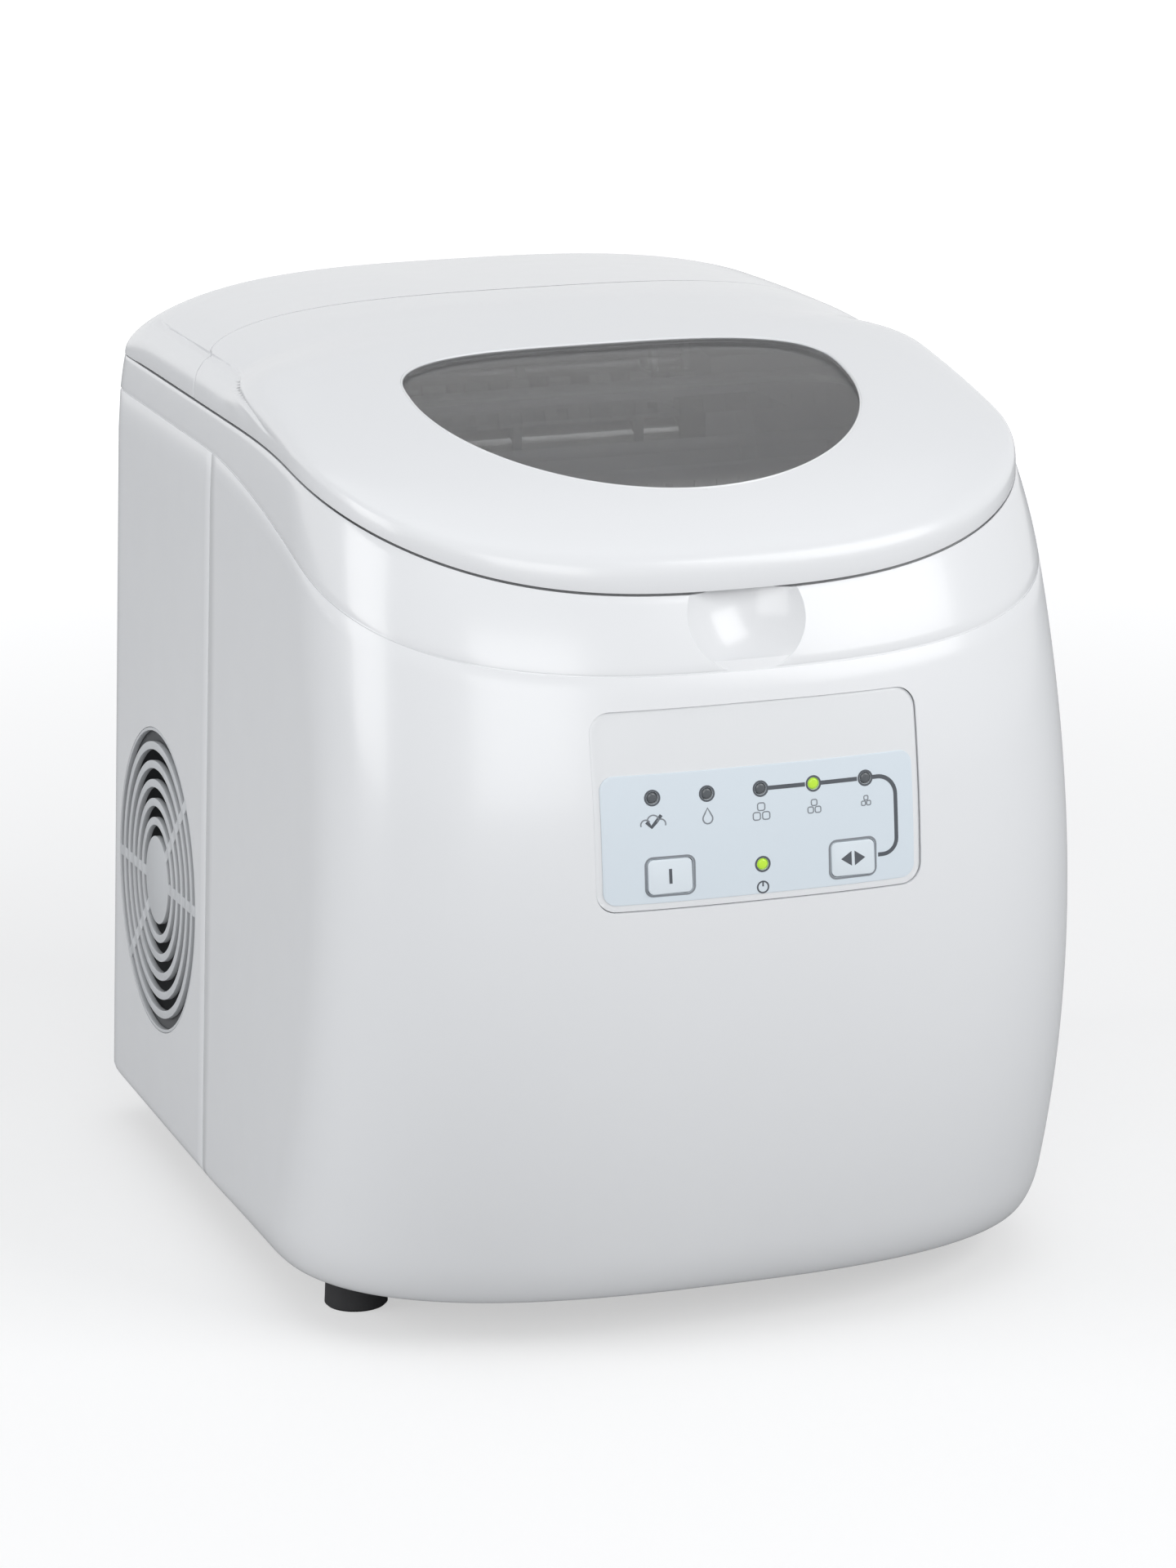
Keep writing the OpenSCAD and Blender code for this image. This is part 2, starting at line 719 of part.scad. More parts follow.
module fan_shroud() {
    color("#b9bdc1")
        on_left()
            difference() {
                union() {
                    translate([0, 0, -wall - 0.3 - 2])
                        linear_extrude(2)
                            intersection() {
                                circle(grille_r + 6);
                                translate([-100, -100])
                                    square([200, 100 + rear_y - rear_reach - fan_y]);
                            }
                    translate([0, 0, -wall - 0.3 - shroud_depth])
                        cylinder(r = grille_r - 6, h = shroud_depth);
                }
                translate([0, 0, -wall - 0.3 - shroud_depth + 3])
                    cylinder(r = grille_r - 8.5, h = shroud_depth);
                for (a = [0:90:270])
                    rotate(a)
                        translate([0, 0, -60])
                            linear_extrude(40)
                                intersection() {
                                    difference() {
                                        circle(grille_r - 10);
                                        circle(26);
                                    }
                                    translate([6, 6])
                                        square(100);
                                }
                translate([0, 0, -60])
                    cylinder(r = 6, h = 40);
            }
}

module fan_motor() {
    back = -wall - 0.3 - shroud_depth;
    color("#6f7479")
        on_left() {
            translate([0, 0, back - 26])
                cylinder(r = 22, h = 26);
            translate([0, 0, back - 1])
                cylinder(r = 2.5, h = 28);
        }
}

module fan_blade() {
    back = -wall - 0.3 - shroud_depth;
    color("#4c5054")
        on_left()
            translate([0, 0, back + 8])
                difference() {
                    union() {
                        cylinder(r = 14, h = 18);
                        intersection() {
                            difference() {
                                translate([0, 0, 1])
                                    cylinder(r = blade_r, h = 16);
                                translate([0, 0, -1])
                                    cylinder(r = 12, h = 20);
                            }
                            union()
                                for (k = [0:blades - 1])
                                    rotate(360 * k / blades)
                                        translate([0, 0, 9])
                                            rotate([32, 0, 0])
                                                block(8, 70, -15, 15, -0.9, 0.9);
                        }
                    }
                    translate([0, 0, -1])
                        cylinder(r = 2.5 + fit, h = 30);
                }
}

module condenser() {
    color("#b8bcc0") {
        for (y = [fan_y - 68:4:fan_y + 68])
            block(-100, -70, y - 0.4, y + 0.4, pan_top + 15, coil_top - 4);
        block(-102, -68, fan_y - 70, fan_y - 68, pan_top, coil_top);
        block(-102, -68, fan_y + 68, fan_y + 70, pan_top, coil_top);
        for (z = [coil_top - 176:24:coil_top - 8], x = [-92, -78])
            translate([x, fan_y - 72, z])
                rotate([-90, 0, 0])
                    cylinder(r = 3.5, h = 144);
    }
}

// ---------------------------------------------------------------- compressor and pipes
module compressor() {
    color("#2b2d30")
        translate([can_x, can_y, pan_top + mount_h + 4])
            rotate_extrude()
                polygon([[0, 0], [can_r - 20, 0], [can_r - 6, 8], [can_r, 20], [can_r, can_h - 30],
                         [can_r - 6, can_h - 14], [can_r - 22, can_h - 4], [0, can_h]]);
}

module compressor_base() {
    color("#3a3d40")
        translate([can_x, can_y, pan_top + mount_h])
            linear_extrude(4)
                round_rect(150, 96, 14);
}

module compressor_mount(i) {
    color("#202224")
        translate([can_x + (i % 2 == 0 ? -62 : 62), can_y + (i < 2 ? -36 : 36), pan_top])
            rotate_extrude()
                polygon([[0, 0], [11, 0], [11, 3], [8, 5.5], [11, 8], [11, mount_h], [0, mount_h]]);
}

module bent_pipe(x, z0) {
    color("#b87a4b") {
        translate([x, pipe_y, z0])
            cylinder(r = pipe_r, h = manifold_z - pipe_bend - z0);
        translate([x, pipe_y - pipe_bend, manifold_z - pipe_bend])
            rotate([90, 0, 90])
                rotate_extrude(angle = 90)
                    translate([pipe_bend, 0])
                        circle(pipe_r);
        translate([x, evap_y + manifold_r + 0.2, manifold_z])
            rotate([-90, 0, 0])
                cylinder(r = pipe_r, h = pipe_y - pipe_bend - evap_y - manifold_r - 0.2);
    }
}

module discharge_pipe() {
    bent_pipe(discharge_x, pan_top + mount_h + can_h + 2.2);
}

module suction_pipe() {
    bent_pipe(suction_x, coil_top - 3.8);
}

// ---------------------------------------------------------------- ice bay
module tank() {
    color("#e6e9eb")
        difference() {
            union() {
                intersection() {
                    translate([0, 0, tank_z])
                        linear_extrude(400)
                            tank_outline(0);
                    below_gap(3 + deck_t + 0.3);
                }
                translate([drain_x, drain_y, shell_bottom])
                    cylinder(r = drain_r + 3, h = tank_z + 2 - shell_bottom);
            }
            difference() {
                translate([0, 0, tank_z + 3])
                    linear_extrude(400)
                        tank_outline(tank_wall);
                for (side = [-1, 1])
                    block(side > 0 ? tank_rx - 8 : -tank_rx - 4, side > 0 ? tank_rx + 4 : 8 - tank_rx,
                          tank_front + 16, basket_rear - 8, rail_z - 5, rail_z);
            }
            translate([drain_x, drain_y, 0])
                cylinder(r = drain_r + fit, h = 100);
            along_x(-tank_rx - 14, 6 - tank_rx, evap_y, tray_z, shaft_bore);
            along_x(-tank_rx - 14, tank_rx + 14, rake_y, rake_z, rake_pin_r + fit);
            for (x = [discharge_x, suction_x])
                translate([x, 40, manifold_z])
                    rotate([-90, 0, 0])
                        cylinder(r = pipe_r + 0.3, h = 30);
        }
}

module drain_plug() {
    color("#3b3e41")
        translate([drain_x, drain_y, 0]) {
            translate([0, 0, 15])
                cylinder(r = 12, h = shell_bottom - 15.2);
            translate([0, 0, 20])
                cylinder(r = drain_r, h = tank_z - 17);
        }
}

module ice_basket() {
    y0 = basket_front;
    y1 = basket_rear;
    z0 = basket_top - basket_h;
    color("#dfe3e6")
        translate([0, (y0 + y1) / 2, 0])
            difference() {
                union() {
                    translate([0, 0, z0])
                        linear_extrude(basket_h)
                            round_rect(2 * basket_rx, y1 - y0, basket_r);
                    translate([0, 0, rail_z])
                        linear_extrude(3)
                            round_rect(2 * basket_rx + 10, y1 - y0 + 4, basket_r + 2);
                }
                translate([0, 0, z0 + 2.5])
                    linear_extrude(basket_h)
                        round_rect(2 * basket_rx - 5, y1 - y0 - 5, basket_r - 2.5);
                for (x = [-110:20:110], y = [-48, 0])
                    block(x - 4, x + 4, y + 2, y + 44, z0 - 1, z0 + 4);
                for (x = [-95:19:95])
                    block(x - 4, x + 4, -100, 100, z0 + 20, z0 + basket_h - 26);
            }
}

module evaporator() {
    color("#c3c7ca") {
        along_x(tray_x0 + 6, tray_x1 - 4, evap_y, manifold_z, manifold_r);
        for (k = [0:fingers - 1])
            translate([finger_x0 + k * finger_pitch, evap_y, manifold_z - 36])
                rotate_extrude()
                    polygon([[0, 0], [finger_r - 2, 0.6], [finger_r - 0.6, 3], [finger_r, 8], [finger_r, 34], [0, 34]]);
    }
}

module evaporator_bracket() {
    color("#aeb2b6")
        difference() {
            union() {
                block(tray_x0, tray_x1 - 4, evap_y - 8, tank_rear - tank_wall - 0.2, bracket_z - 2, bracket_z);
                block(tray_x0, tray_x1 - 4, tank_rear - tank_wall - 2.2, tank_rear - tank_wall - 0.2,
                      bracket_z - 29, bracket_z);
                for (x = [tray_x0 + 26, (tray_x0 + tray_x1) / 2 - 2, tray_x1 - 26])
                    block(x, x + 4, evap_y - 8, evap_y + 8, bracket_z - 13, bracket_z);
            }
            along_x(-150, 100, evap_y, manifold_z, manifold_r + 0.1);
            for (x = [discharge_x, suction_x])
                translate([x, 40, manifold_z])
                    rotate([-90, 0, 0])
                        cylinder(r = pipe_r + 0.3, h = 30);
        }
}

module trough_section(r) {
    intersection() {
        circle(r);
        polygon([[0, 0], [-40, -7.1], [-40, -40], [40, -40], [40, -7.1]]);
    }
}

module water_tray() {
    color("#d9dde0")
        translate([0, evap_y, tray_z]) {
            rotate([90, 0, 90])
                translate([0, 0, tray_x0])
                    linear_extrude(tray_x1 - tray_x0)
                        difference() {
                            trough_section(tray_r + 2);
                            circle(tray_r);
                        }
            for (x = [tray_x0, tray_x1 - 2])
                rotate([90, 0, 90])
                    translate([0, 0, x])
                        linear_extrude(2)
                            union() {
                                trough_section(tray_r + 2);
                                circle(8);
                            }
            along_x(-tank_rx + 0.5, tray_x0 + 1, 0, 0, shaft_r);
            along_x(tray_x1 - 1, motor_x0 + 12, 0, 0, shaft_r);
        }
}

module tray_motor() {
    color("#c9cdd0")
        difference() {
            block(motor_x0, motor_x1, evap_y - 16, tank_rear - tank_wall - 0.2, tray_motor_z0, bracket_z);
            along_x(motor_x0 - 1, motor_x0 + 14, evap_y, tray_z, shaft_bore);
        }
}

module ice_rake() {
    color("#cfd3d6") {
        along_x(-tank_rx + 0.5, tank_rx - 0.5, rake_y, rake_z, rake_pin_r);
        block(-118, 118, rake_y - 1, rake_y + 1, rake_z - rake_reach + 14, rake_z);
        for (x = [-110:11:110])
            block(x - 3, x + 3, rake_y - 1, rake_y + 1, rake_z - rake_reach, rake_z - rake_reach + 15);
    }
}

module water_pump() {
    color("#44484c")
        translate([pump_x, pump_y, 0]) {
            translate([0, 0, tank_z + 3])
                cylinder(r = 17, h = 34);
            translate([0, 0, pump_top - 12])
                cylinder(r = 6, h = 12);
        }
}

module water_hose() {
    color("#e8eaec")
        translate([pump_x, pump_y, pump_top + 0.2])
            cylinder(r = 4, h = tray_motor_z0 - pump_top - 0.4);
}

module ice_sensor() {
    color("#33363a")
        block(-tank_rx + tank_wall + 0.2, -tank_rx + tank_wall + 10, -62, -42, tray_z - 3, tray_z + 9);
}

// ---------------------------------------------------------------- feet and inlet
module foot(x, y) {
    color("#1c1d1f")
        translate([x, y, 0])
            rotate_extrude()
                polygon([[0, 0], [foot_r - 1, 0], [foot_r, 1], [foot_r - 0.8, 15], [foot_r - 4, 15], [foot_r - 4, shell_bottom],
                         [0, shell_bottom]]);
}

module cable_gland() {
    color("#2a2c2e")
        translate([inlet_x, rear_y, inlet_z])
            rotate([90, 0, 0])
                difference() {
                    union() {
                        cylinder(r = inlet_r, h = 8);
                        translate([0, 0, wall + 0.5])
                            cylinder(r = inlet_r + 3, h = 4);
                    }
                    translate([0, 0, -1])
                        cylinder(r = 4, h = 30);
                }
}

base_pan();
rear_cabinet();
front_cover();
top_collar();
rear_top_cover();
lid_shell();
lid_window();
hinge_bracket(-1);  // hinge_bracket_left
hinge_bracket(1);  // hinge_bracket_right
hinge_pin(-1);  // hinge_pin_left
hinge_pin(1);  // hinge_pin_right
control_bezel();
control_label();
power_button();
select_button();
for (i = [0:5])
    indicator_light(i);
control_board();
side_grille();
fan_shroud();
fan_motor();
fan_blade();
condenser();
compressor();
compressor_base();
for (i = [0:3])
    compressor_mount(i);
discharge_pipe();
suction_pipe();
tank();
drain_plug();
ice_basket();
evaporator();
evaporator_bracket();
water_tray();
tray_motor();
ice_rake();
water_pump();
water_hose();
ice_sensor();
foot(-foot_front_x, foot_front_y);  // foot_front_left
foot(foot_front_x, foot_front_y);  // foot_front_right
foot(-foot_rear_x, foot_rear_y);  // foot_rear_left
foot(foot_rear_x, foot_rear_y);  // foot_rear_right
cable_gland();
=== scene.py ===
import bpy
import json
import math
from mathutils import Matrix, Vector


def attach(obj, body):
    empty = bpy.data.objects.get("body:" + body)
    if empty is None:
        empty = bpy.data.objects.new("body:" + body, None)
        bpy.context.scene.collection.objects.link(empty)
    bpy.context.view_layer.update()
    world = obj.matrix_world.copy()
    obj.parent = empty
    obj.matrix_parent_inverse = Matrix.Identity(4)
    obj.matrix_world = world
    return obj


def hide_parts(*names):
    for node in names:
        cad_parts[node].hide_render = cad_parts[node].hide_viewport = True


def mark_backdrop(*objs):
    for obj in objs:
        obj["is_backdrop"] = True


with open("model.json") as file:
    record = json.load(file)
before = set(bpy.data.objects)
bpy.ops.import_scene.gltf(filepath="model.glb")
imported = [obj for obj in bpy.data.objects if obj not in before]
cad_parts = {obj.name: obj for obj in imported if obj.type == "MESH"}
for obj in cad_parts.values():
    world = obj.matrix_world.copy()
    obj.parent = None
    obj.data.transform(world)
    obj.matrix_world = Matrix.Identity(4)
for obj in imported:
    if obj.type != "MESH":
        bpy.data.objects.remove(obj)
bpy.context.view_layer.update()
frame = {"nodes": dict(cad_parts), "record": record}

MM = 0.001
NODES = frame["nodes"]


# ------------------------------------------------------------------ form of the body, in millimetres
HALF_WIDTH = 183.0       # at the foot, from which the sides lean in
SIDE_DRAFT = 0.041
SHELL_BOTTOM = 22.0
WALL = 2.6
SHOULDER = 2.6           # how far the skin turns in under the lid
FRONT = -236.0
REAR = 236.0
BELLY = 213.0            # height where the front bulges most
FRONT_SWEEP = 415.0      # radius of that bulge
CORNER_REACH = 105.0     # how far back the front corners reach, and forward the rear ones
REAR_REACH = 40.0
CORNER_FORM = 2.66       # exponents of the superellipses of front and rear
REAR_FORM = 8.0
SEAM_Y = 42.0            # upright seam between front cover and rear cabinet
SEAM_GAP = 0.8
LID_GAP = 390.0          # height of the seam under the lid, at the rear
LID_LIFT = 0.9           # gap that the top leaves over that seam
TOP_FORM_REAR = 2.92     # exponents of the cross-section of the top
TOP_FORM_FRONT = 4.87
HINGE_Y = 82.0
HINGE_Z = 423.4
EAR = 11.0               # radius of the lid's rounded end round the hinge
KNUCKLES = (-70, 70)

PANEL_Z = 256.5
PANEL_WIDTH, PANEL_HEIGHT, PANEL_CORNER = 149.0, 86.0, 9.0
PANEL_GAP = 0.3
GRILLE_Y, GRILLE_Z, GRILLE_R = 135.0, 145.0, 74.6
GLAND_X, GLAND_Z, GLAND_R = -110, 60, 9.2
LOUVRE_HEIGHT, LOUVRE_PITCH = 4.5, 12

# inner wall of the tank, which the deck of the collar reaches
TANK_HALF_WIDTH = 143.5
TANK_FRONT, TANK_REAR, TANK_MIDDLE = -163.5, 53.5, -55.0
TANK_FRONT_CORNER, TANK_REAR_CORNER = 57.5, 21.5

# finger notch under the front edge of the lid
NOTCH_HALF, NOTCH_DEPTH = 31.0, 13.0
NOTCH_Z, NOTCH_RIM_Z, NOTCH_FOOT = 348.0, 338.0, 312.6


def ramp(v):
    """Smooth step from 0 to 1."""
    v = min(1.0, max(0.0, v))
    return v * v * (3 - 2 * v)


def power(v, p):
    """Power of a number's size, with its sign kept."""
    return math.copysign(abs(v) ** p, v)


def half_width(z):
    return HALF_WIDTH - SIDE_DRAFT * (z - SHELL_BOTTOM)


def belly_line(z):
    return FRONT + (z - BELLY) ** 2 / (2 * FRONT_SWEEP)


def corner_reach(z):
    return CORNER_REACH + 0.0006 * (z - BELLY) ** 2


def arc_start(z):
    return belly_line(z) + corner_reach(z)


def lid_line(y):
    """Height of the seam that the lid closes on."""
    return LID_GAP - 47.0 * (max(0.0, 20.0 - y) / 236.0) ** 3


def collar_line(y):
    """Height of the seam between the side walls and the collar."""
    return 373.5 - 60.0 * (max(0.0, 60.0 - y) / 284.0) ** 1.8


def tuck(z, y):
    """How far the skin turns in from its straight draft: at its foot and under the lid."""
    high = 6.5 + 16.5 * ramp((40.0 - y) / 170.0)
    d = min(1.0, max(0.0, (SHELL_BOTTOM + high - z) / high))
    curl = 6.0 * (1 - math.sqrt(1 - d * d))
    return curl + SHOULDER * min(1.2, max(0.0, 1 + (z - lid_line(y)) / 35.0)) ** 2


def skin(station, z, inset=0.0):
    """Point of the body at a station of its plan outline and a height."""
    kind, at = station
    if kind == "front":
        p = max(0.0, math.sin(at)) ** (2 / CORNER_FORM)
        start, reach = arc_start(z), corner_reach(z)
        i = inset + tuck(z, start - reach * p)
        x = (half_width(z) - i) * power(math.cos(at), 2 / CORNER_FORM)
        return Vector((x, start - (reach - i) * p, z))
    if kind == "rear":
        i = inset + tuck(z, REAR)
        x = (half_width(z) - i) * power(math.cos(at), 2 / REAR_FORM)
        y = REAR - REAR_REACH + (REAR_REACH - i) * max(0.0, math.sin(at)) ** (2 / REAR_FORM)
        return Vector((x, y, z))
    side, low_y, share = at
    y = (arc_start(z) if low_y is None else low_y)
    y = y + ((REAR - REAR_REACH if kind == "back side" else SEAM_Y) - y) * share
    return Vector((side * (half_width(z) - inset - tuck(z, y)), y, z))


def on_line(station, line, inset=0.0, lift=0.0):
    """Point of the body where a station meets a seam line."""
    z = 360.0
    for _ in range(12):
        z = (z + line(skin(station, z, inset).y)) / 2
    return skin(station, z + lift, inset)


def even_angles(form, across, deep, count):
    """Angles from left to right that step evenly along a superellipse."""
    steps = [k / 1500 for k in range(1501)]
    quarter = sorted([math.acos(t ** (form / 2)) for t in steps]
                     + [math.asin(t ** (form / 2)) for t in steps])
    fine = quarter + [math.pi - a for a in reversed(quarter)]
    place = [(across * power(math.cos(a), 2 / form), deep * max(0.0, math.sin(a)) ** (2 / form))
             for a in fine]
    run = [0.0]
    for a, b in zip(place, place[1:]):
        run.append(run[-1] + math.dist(a, b))
    found, k = [], 0
    for n in range(count):
        goal = run[-1] * n / (count - 1)
        while k < len(fine) - 1 and run[k] < goal:
            k += 1
        found.append(fine[k])
    return found[::-1]


FRONT_ANGLES = even_angles(CORNER_FORM, 178.0, 112.0, 121)
REAR_ANGLES = even_angles(REAR_FORM, 178.0, REAR_REACH, 81)
FRONT_ANGLES[0], FRONT_ANGLES[-1] = math.pi, 0.0
REAR_ANGLES[0], REAR_ANGLES[-1] = math.pi, 0.0


def front_depth(x, z):
    """Where the front skin lies at a width and a height."""
    share = min(1.0, abs(x) / half_width(z))
    return belly_line(z) + corner_reach(z) * (1 - (1 - share ** CORNER_FORM) ** (1 / CORNER_FORM))


def crown(y):
    """Height of the top along its middle."""
    return 432.0 - 0.008 * max(0.0, 70.0 - y) ** 1.6 - 5.6 * (max(0.0, y - 90.0) / 147.5) ** 2


def dome_width(y):
    return half_width(lid_line(y)) - SHOULDER


def top_form(y):
    """Exponent of the top's cross-section: rounder at the rear, squarer toward the front."""
    return TOP_FORM_REAR + (TOP_FORM_FRONT - TOP_FORM_REAR) * ramp((33.5 - y) / 52.7)


def dome(c, y, lip):
    """Height of the top at a share c of its half width."""
    form = top_form(y)
    low = lid_line(y) + LID_LIFT
    e = min(1.0, abs(c) ** form * (1 - lip) + lip)
    return low + (crown(y) - low) * (1 - e) ** (1 / form)


def lip_share(y, edge):
    """How far the top has turned down into its front lip, from 0 to 1."""
    start = arc_start(edge.z)
    return min(1.0, max(0.0, (start - y) / max(0.01, start - edge.y))) ** 8


def outline_at(c):
    """Front edge of the lid at a share c of its half width."""
    return on_line(("front", math.acos(max(-1.0, min(1.0, power(c, CORNER_FORM / 2))))), lid_line)


def top_at(x, y):
    """Height of the top over a place in plan."""
    c = x / dome_width(y)
    return dome(c, y, lip_share(y, outline_at(c)))


def crease(y):
    """Height and depth of the soft groove that runs along each flank of the top."""
    if y > 37.0:
        return 410.5, 1.0 - ramp((y - 182.0) / 14.0)
    if y > -40.0:
        return 398.0 + 12.5 * (y + 40.0) / 77.0, ramp((y + 70.0) / 80.0)
    return 392.5 + 5.5 * (y + 98.0) / 58.0, ramp((y + 70.0) / 80.0)


def carve_grooves(piece):
    """Presses the groove into the outer face of a top piece."""
    for v in piece.data.vertices:
        x, y, z = v.co / MM
        low, high = lid_line(y) + LID_LIFT, crown(y)
        line, deep = crease(y)
        if abs(x) < 110 or deep <= 0 or not low < z < high or abs(z - line) > 8:
            continue
        form = top_form(y)
        skin_x = dome_width(y) * (1 - ((z - low) / (high - low)) ** form) ** (1 / form)
        if abs(x) > skin_x - 0.9:
            groove = 1.8 * deep * math.exp(-((z - line) / 1.1) ** 2)
            hollow = 0.4 * deep * ramp((line + 0.6 - z) / 2.4) * ramp((z - line + 8) / 5)
            v.co.x -= math.copysign(groove + hollow, x) * MM
    return piece


# ------------------------------------------------------------------ modelling helpers
def deselect():
    if bpy.context.object and bpy.context.object.mode != 'OBJECT':
        bpy.ops.object.mode_set(mode='OBJECT')
    bpy.ops.object.select_all(action='DESELECT')


def pick(piece):
    deselect()
    piece.select_set(True)
    bpy.context.view_layer.objects.active = piece
    return piece


def named(name):
    piece = bpy.context.active_object
    piece.name = name
    piece.data.name = name
    return piece


def settle(piece):
    """Puts the place of a piece into its mesh."""
    pick(piece)
    bpy.ops.object.transform_apply(location=True, rotation=True, scale=True)
    return piece


def finish_with(piece, kind, **values):
    """Adds one modifier and applies it."""
    pick(piece)
    bpy.ops.object.modifier_add(type=kind)
    modifier = piece.modifiers[-1]
    for key, value in values.items():
        setattr(modifier, key, value)
    bpy.ops.object.modifier_apply(modifier=modifier.name)
    return piece


def soften_edges(piece, width, segments=2, angle=50):
    return finish_with(piece, 'BEVEL', width=width * MM, segments=segments, limit_method='ANGLE',
                       angle_limit=math.radians(angle))


def cut(piece, tool, operation='DIFFERENCE'):
    """Cuts, adds or intersects a tool, which is used up."""
    finish_with(piece, 'BOOLEAN', object=tool, operation=operation, solver='EXACT')
    bpy.data.objects.remove(tool)
    return piece


def smooth(piece, angle=35):
    pick(piece)
    bpy.ops.object.shade_smooth_by_angle(angle=math.radians(angle))
    return piece


def edit_all(piece):
    pick(piece)
    bpy.ops.object.mode_set(mode='EDIT')
    bpy.ops.mesh.select_all(action='SELECT')


def weld(piece, distance=1e-6, turn_out=True):
    """Merges the points that meet and turns the faces outwards."""
    edit_all(piece)
    bpy.ops.mesh.remove_doubles(threshold=distance)
    if turn_out:
        bpy.ops.mesh.normals_make_consistent(inside=False)
    bpy.ops.object.mode_set(mode='OBJECT')
    return piece


def grid(name, columns, rows):
    """A flat grid from -1 to 1 both ways, with that many faces along each side."""
    deselect()
    bpy.ops.mesh.primitive_grid_add(x_subdivisions=columns, y_subdivisions=rows, size=2)
    return named(name)


def moulded_sheet(name, columns, rows, place, thick=WALL, closed=False, soften=0.5):
    """A grid laid over a form, given its wall and softened edges. place takes a column and a row."""
    piece = grid(name, len(columns) - 1, len(rows) - 1)
    for v in piece.data.vertices:
        i = round((v.co.x + 1) / 2 * (len(columns) - 1))
        j = round((v.co.y + 1) / 2 * (len(rows) - 1))
        v.co = place(columns[i], rows[j]) * MM
    if closed:
        weld(piece, turn_out=False)
    if thick:
        finish_with(piece, 'SOLIDIFY', thickness=thick * MM, offset=-1, use_even_offset=True)
    if soften:
        soften_edges(piece, soften, angle=55)
    return piece


def rod(name, start, end, radius, sides=32):
    start, end = Vector(start) * MM, Vector(end) * MM
    way = end - start
    deselect()
    bpy.ops.mesh.primitive_cylinder_add(vertices=sides, radius=radius * MM, depth=way.length,
                                        location=(start + end) / 2,
                                        rotation=way.to_track_quat('Z', 'Y').to_euler())
    return settle(named(name))


def slab(name, low, high):
    deselect()
    low, high = Vector(low) * MM, Vector(high) * MM
    bpy.ops.mesh.primitive_cube_add(size=1, location=(low + high) / 2, scale=high - low)
    return settle(named(name))


def round_bar(name, width, height, radius, low_y, high_y, x, z):
    """Upright prism through the front with four rounded corners."""
    piece = slab(name, (x - width / 2, low_y, z - height / 2), (x + width / 2, high_y, z + height / 2))
    pick(piece)
    bpy.ops.object.mode_set(mode='EDIT')
    bpy.ops.mesh.select_all(action='DESELECT')
    bpy.ops.mesh.select_mode(type='EDGE')
    bpy.ops.object.mode_set(mode='OBJECT')
    for edge in piece.data.edges:
        a, b = (piece.data.vertices[i].co for i in edge.vertices)
        edge.select = abs(a.y - b.y) > 1e-5
    bpy.ops.object.mode_set(mode='EDIT')
    bpy.ops.mesh.bevel(offset=radius * MM, segments=10)
    bpy.ops.object.mode_set(mode='OBJECT')
    return piece


def front_plate(name, width, height, radius, x, z, deep, thick, soften):
    """Rounded plate that lies a set depth under the front skin and follows it."""
    piece = grid(name, 60, 36)
    for v in piece.data.vertices:
        v.co = Vector((x + v.co.x * (width / 2 + 1), 0.0, z + v.co.y * (height / 2 + 1))) * MM
    finish_with(piece, 'SOLIDIFY', thickness=thick * MM, offset=-1)
    cut(piece, round_bar("plate_outline", width, height, radius, -20, 20, x, z), 'INTERSECT')
    for v in piece.data.vertices:
        v.co.y += (front_depth(v.co.x / MM, v.co.z / MM) + deep) * MM
    soften_edges(piece, soften, angle=60)
    return smooth(piece)


def dress(piece, body, slot, material, *nodes):
    """Gives a finished piece its material and body, and lets it stand for CAD nodes; its slot is not used."""
    piece.data.materials.clear()
    piece.data.materials.append(material)
    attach(piece, body)
    if nodes:
        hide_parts(*nodes)
    return piece


def join(main, *others):
    deselect()
    for o in others:
        o.select_set(True)
    main.select_set(True)
    bpy.context.view_layer.objects.active = main
    bpy.ops.object.join()
    return main


# ------------------------------------------------------------------ shared surface effects
def new_group(name, inputs, outputs):
    group = bpy.data.node_groups.new(name, 'ShaderNodeTree')
    for label, kind, value in inputs:
        socket = group.interface.new_socket(label, in_out='INPUT', socket_type=kind)
        socket.default_value = value
    for label, kind in outputs:
        group.interface.new_socket(label, in_out='OUTPUT', socket_type=kind)
    return group, group.nodes.new('NodeGroupInput'), group.nodes.new('NodeGroupOutput')


def noise(group, detail, scale=None):
    pattern = group.nodes.new('ShaderNodeTexNoise')
    pattern.inputs['Detail'].default_value = detail
    if scale:
        pattern.inputs['Scale'].default_value = scale
    return pattern


def put_out(group, given, out, second_colour, tint, sheen, height, sheen_from=(0.0, 1.0)):
    """Mixes the two colours by the tint pattern and the two roughnesses by the sheen pattern."""
    link = group.links.new
    mix = group.nodes.new('ShaderNodeMix')
    mix.data_type = 'RGBA'
    link(tint.outputs['Fac'], mix.inputs['Factor'])
    link(given.outputs['Colour'], mix.inputs['A'])
    link(given.outputs[second_colour], mix.inputs['B'])
    spread = group.nodes.new('ShaderNodeMapRange')
    spread.inputs['From Min'].default_value = sheen_from[0]
    spread.inputs['From Max'].default_value = sheen_from[1]
    link(sheen.outputs['Fac'], spread.inputs['Value'])
    link(given.outputs['Smooth'], spread.inputs['To Min'])
    link(given.outputs['Rough'], spread.inputs['To Max'])
    link(mix.outputs['Result'], out.inputs['Colour'])
    link(spread.outputs['Result'], out.inputs['Roughness'])
    link(height.outputs['Fac'], out.inputs['Height'])


SURFACE_OUTPUTS = [("Colour", 'NodeSocketColor'), ("Roughness", 'NodeSocketFloat'),
                   ("Height", 'NodeSocketFloat')]


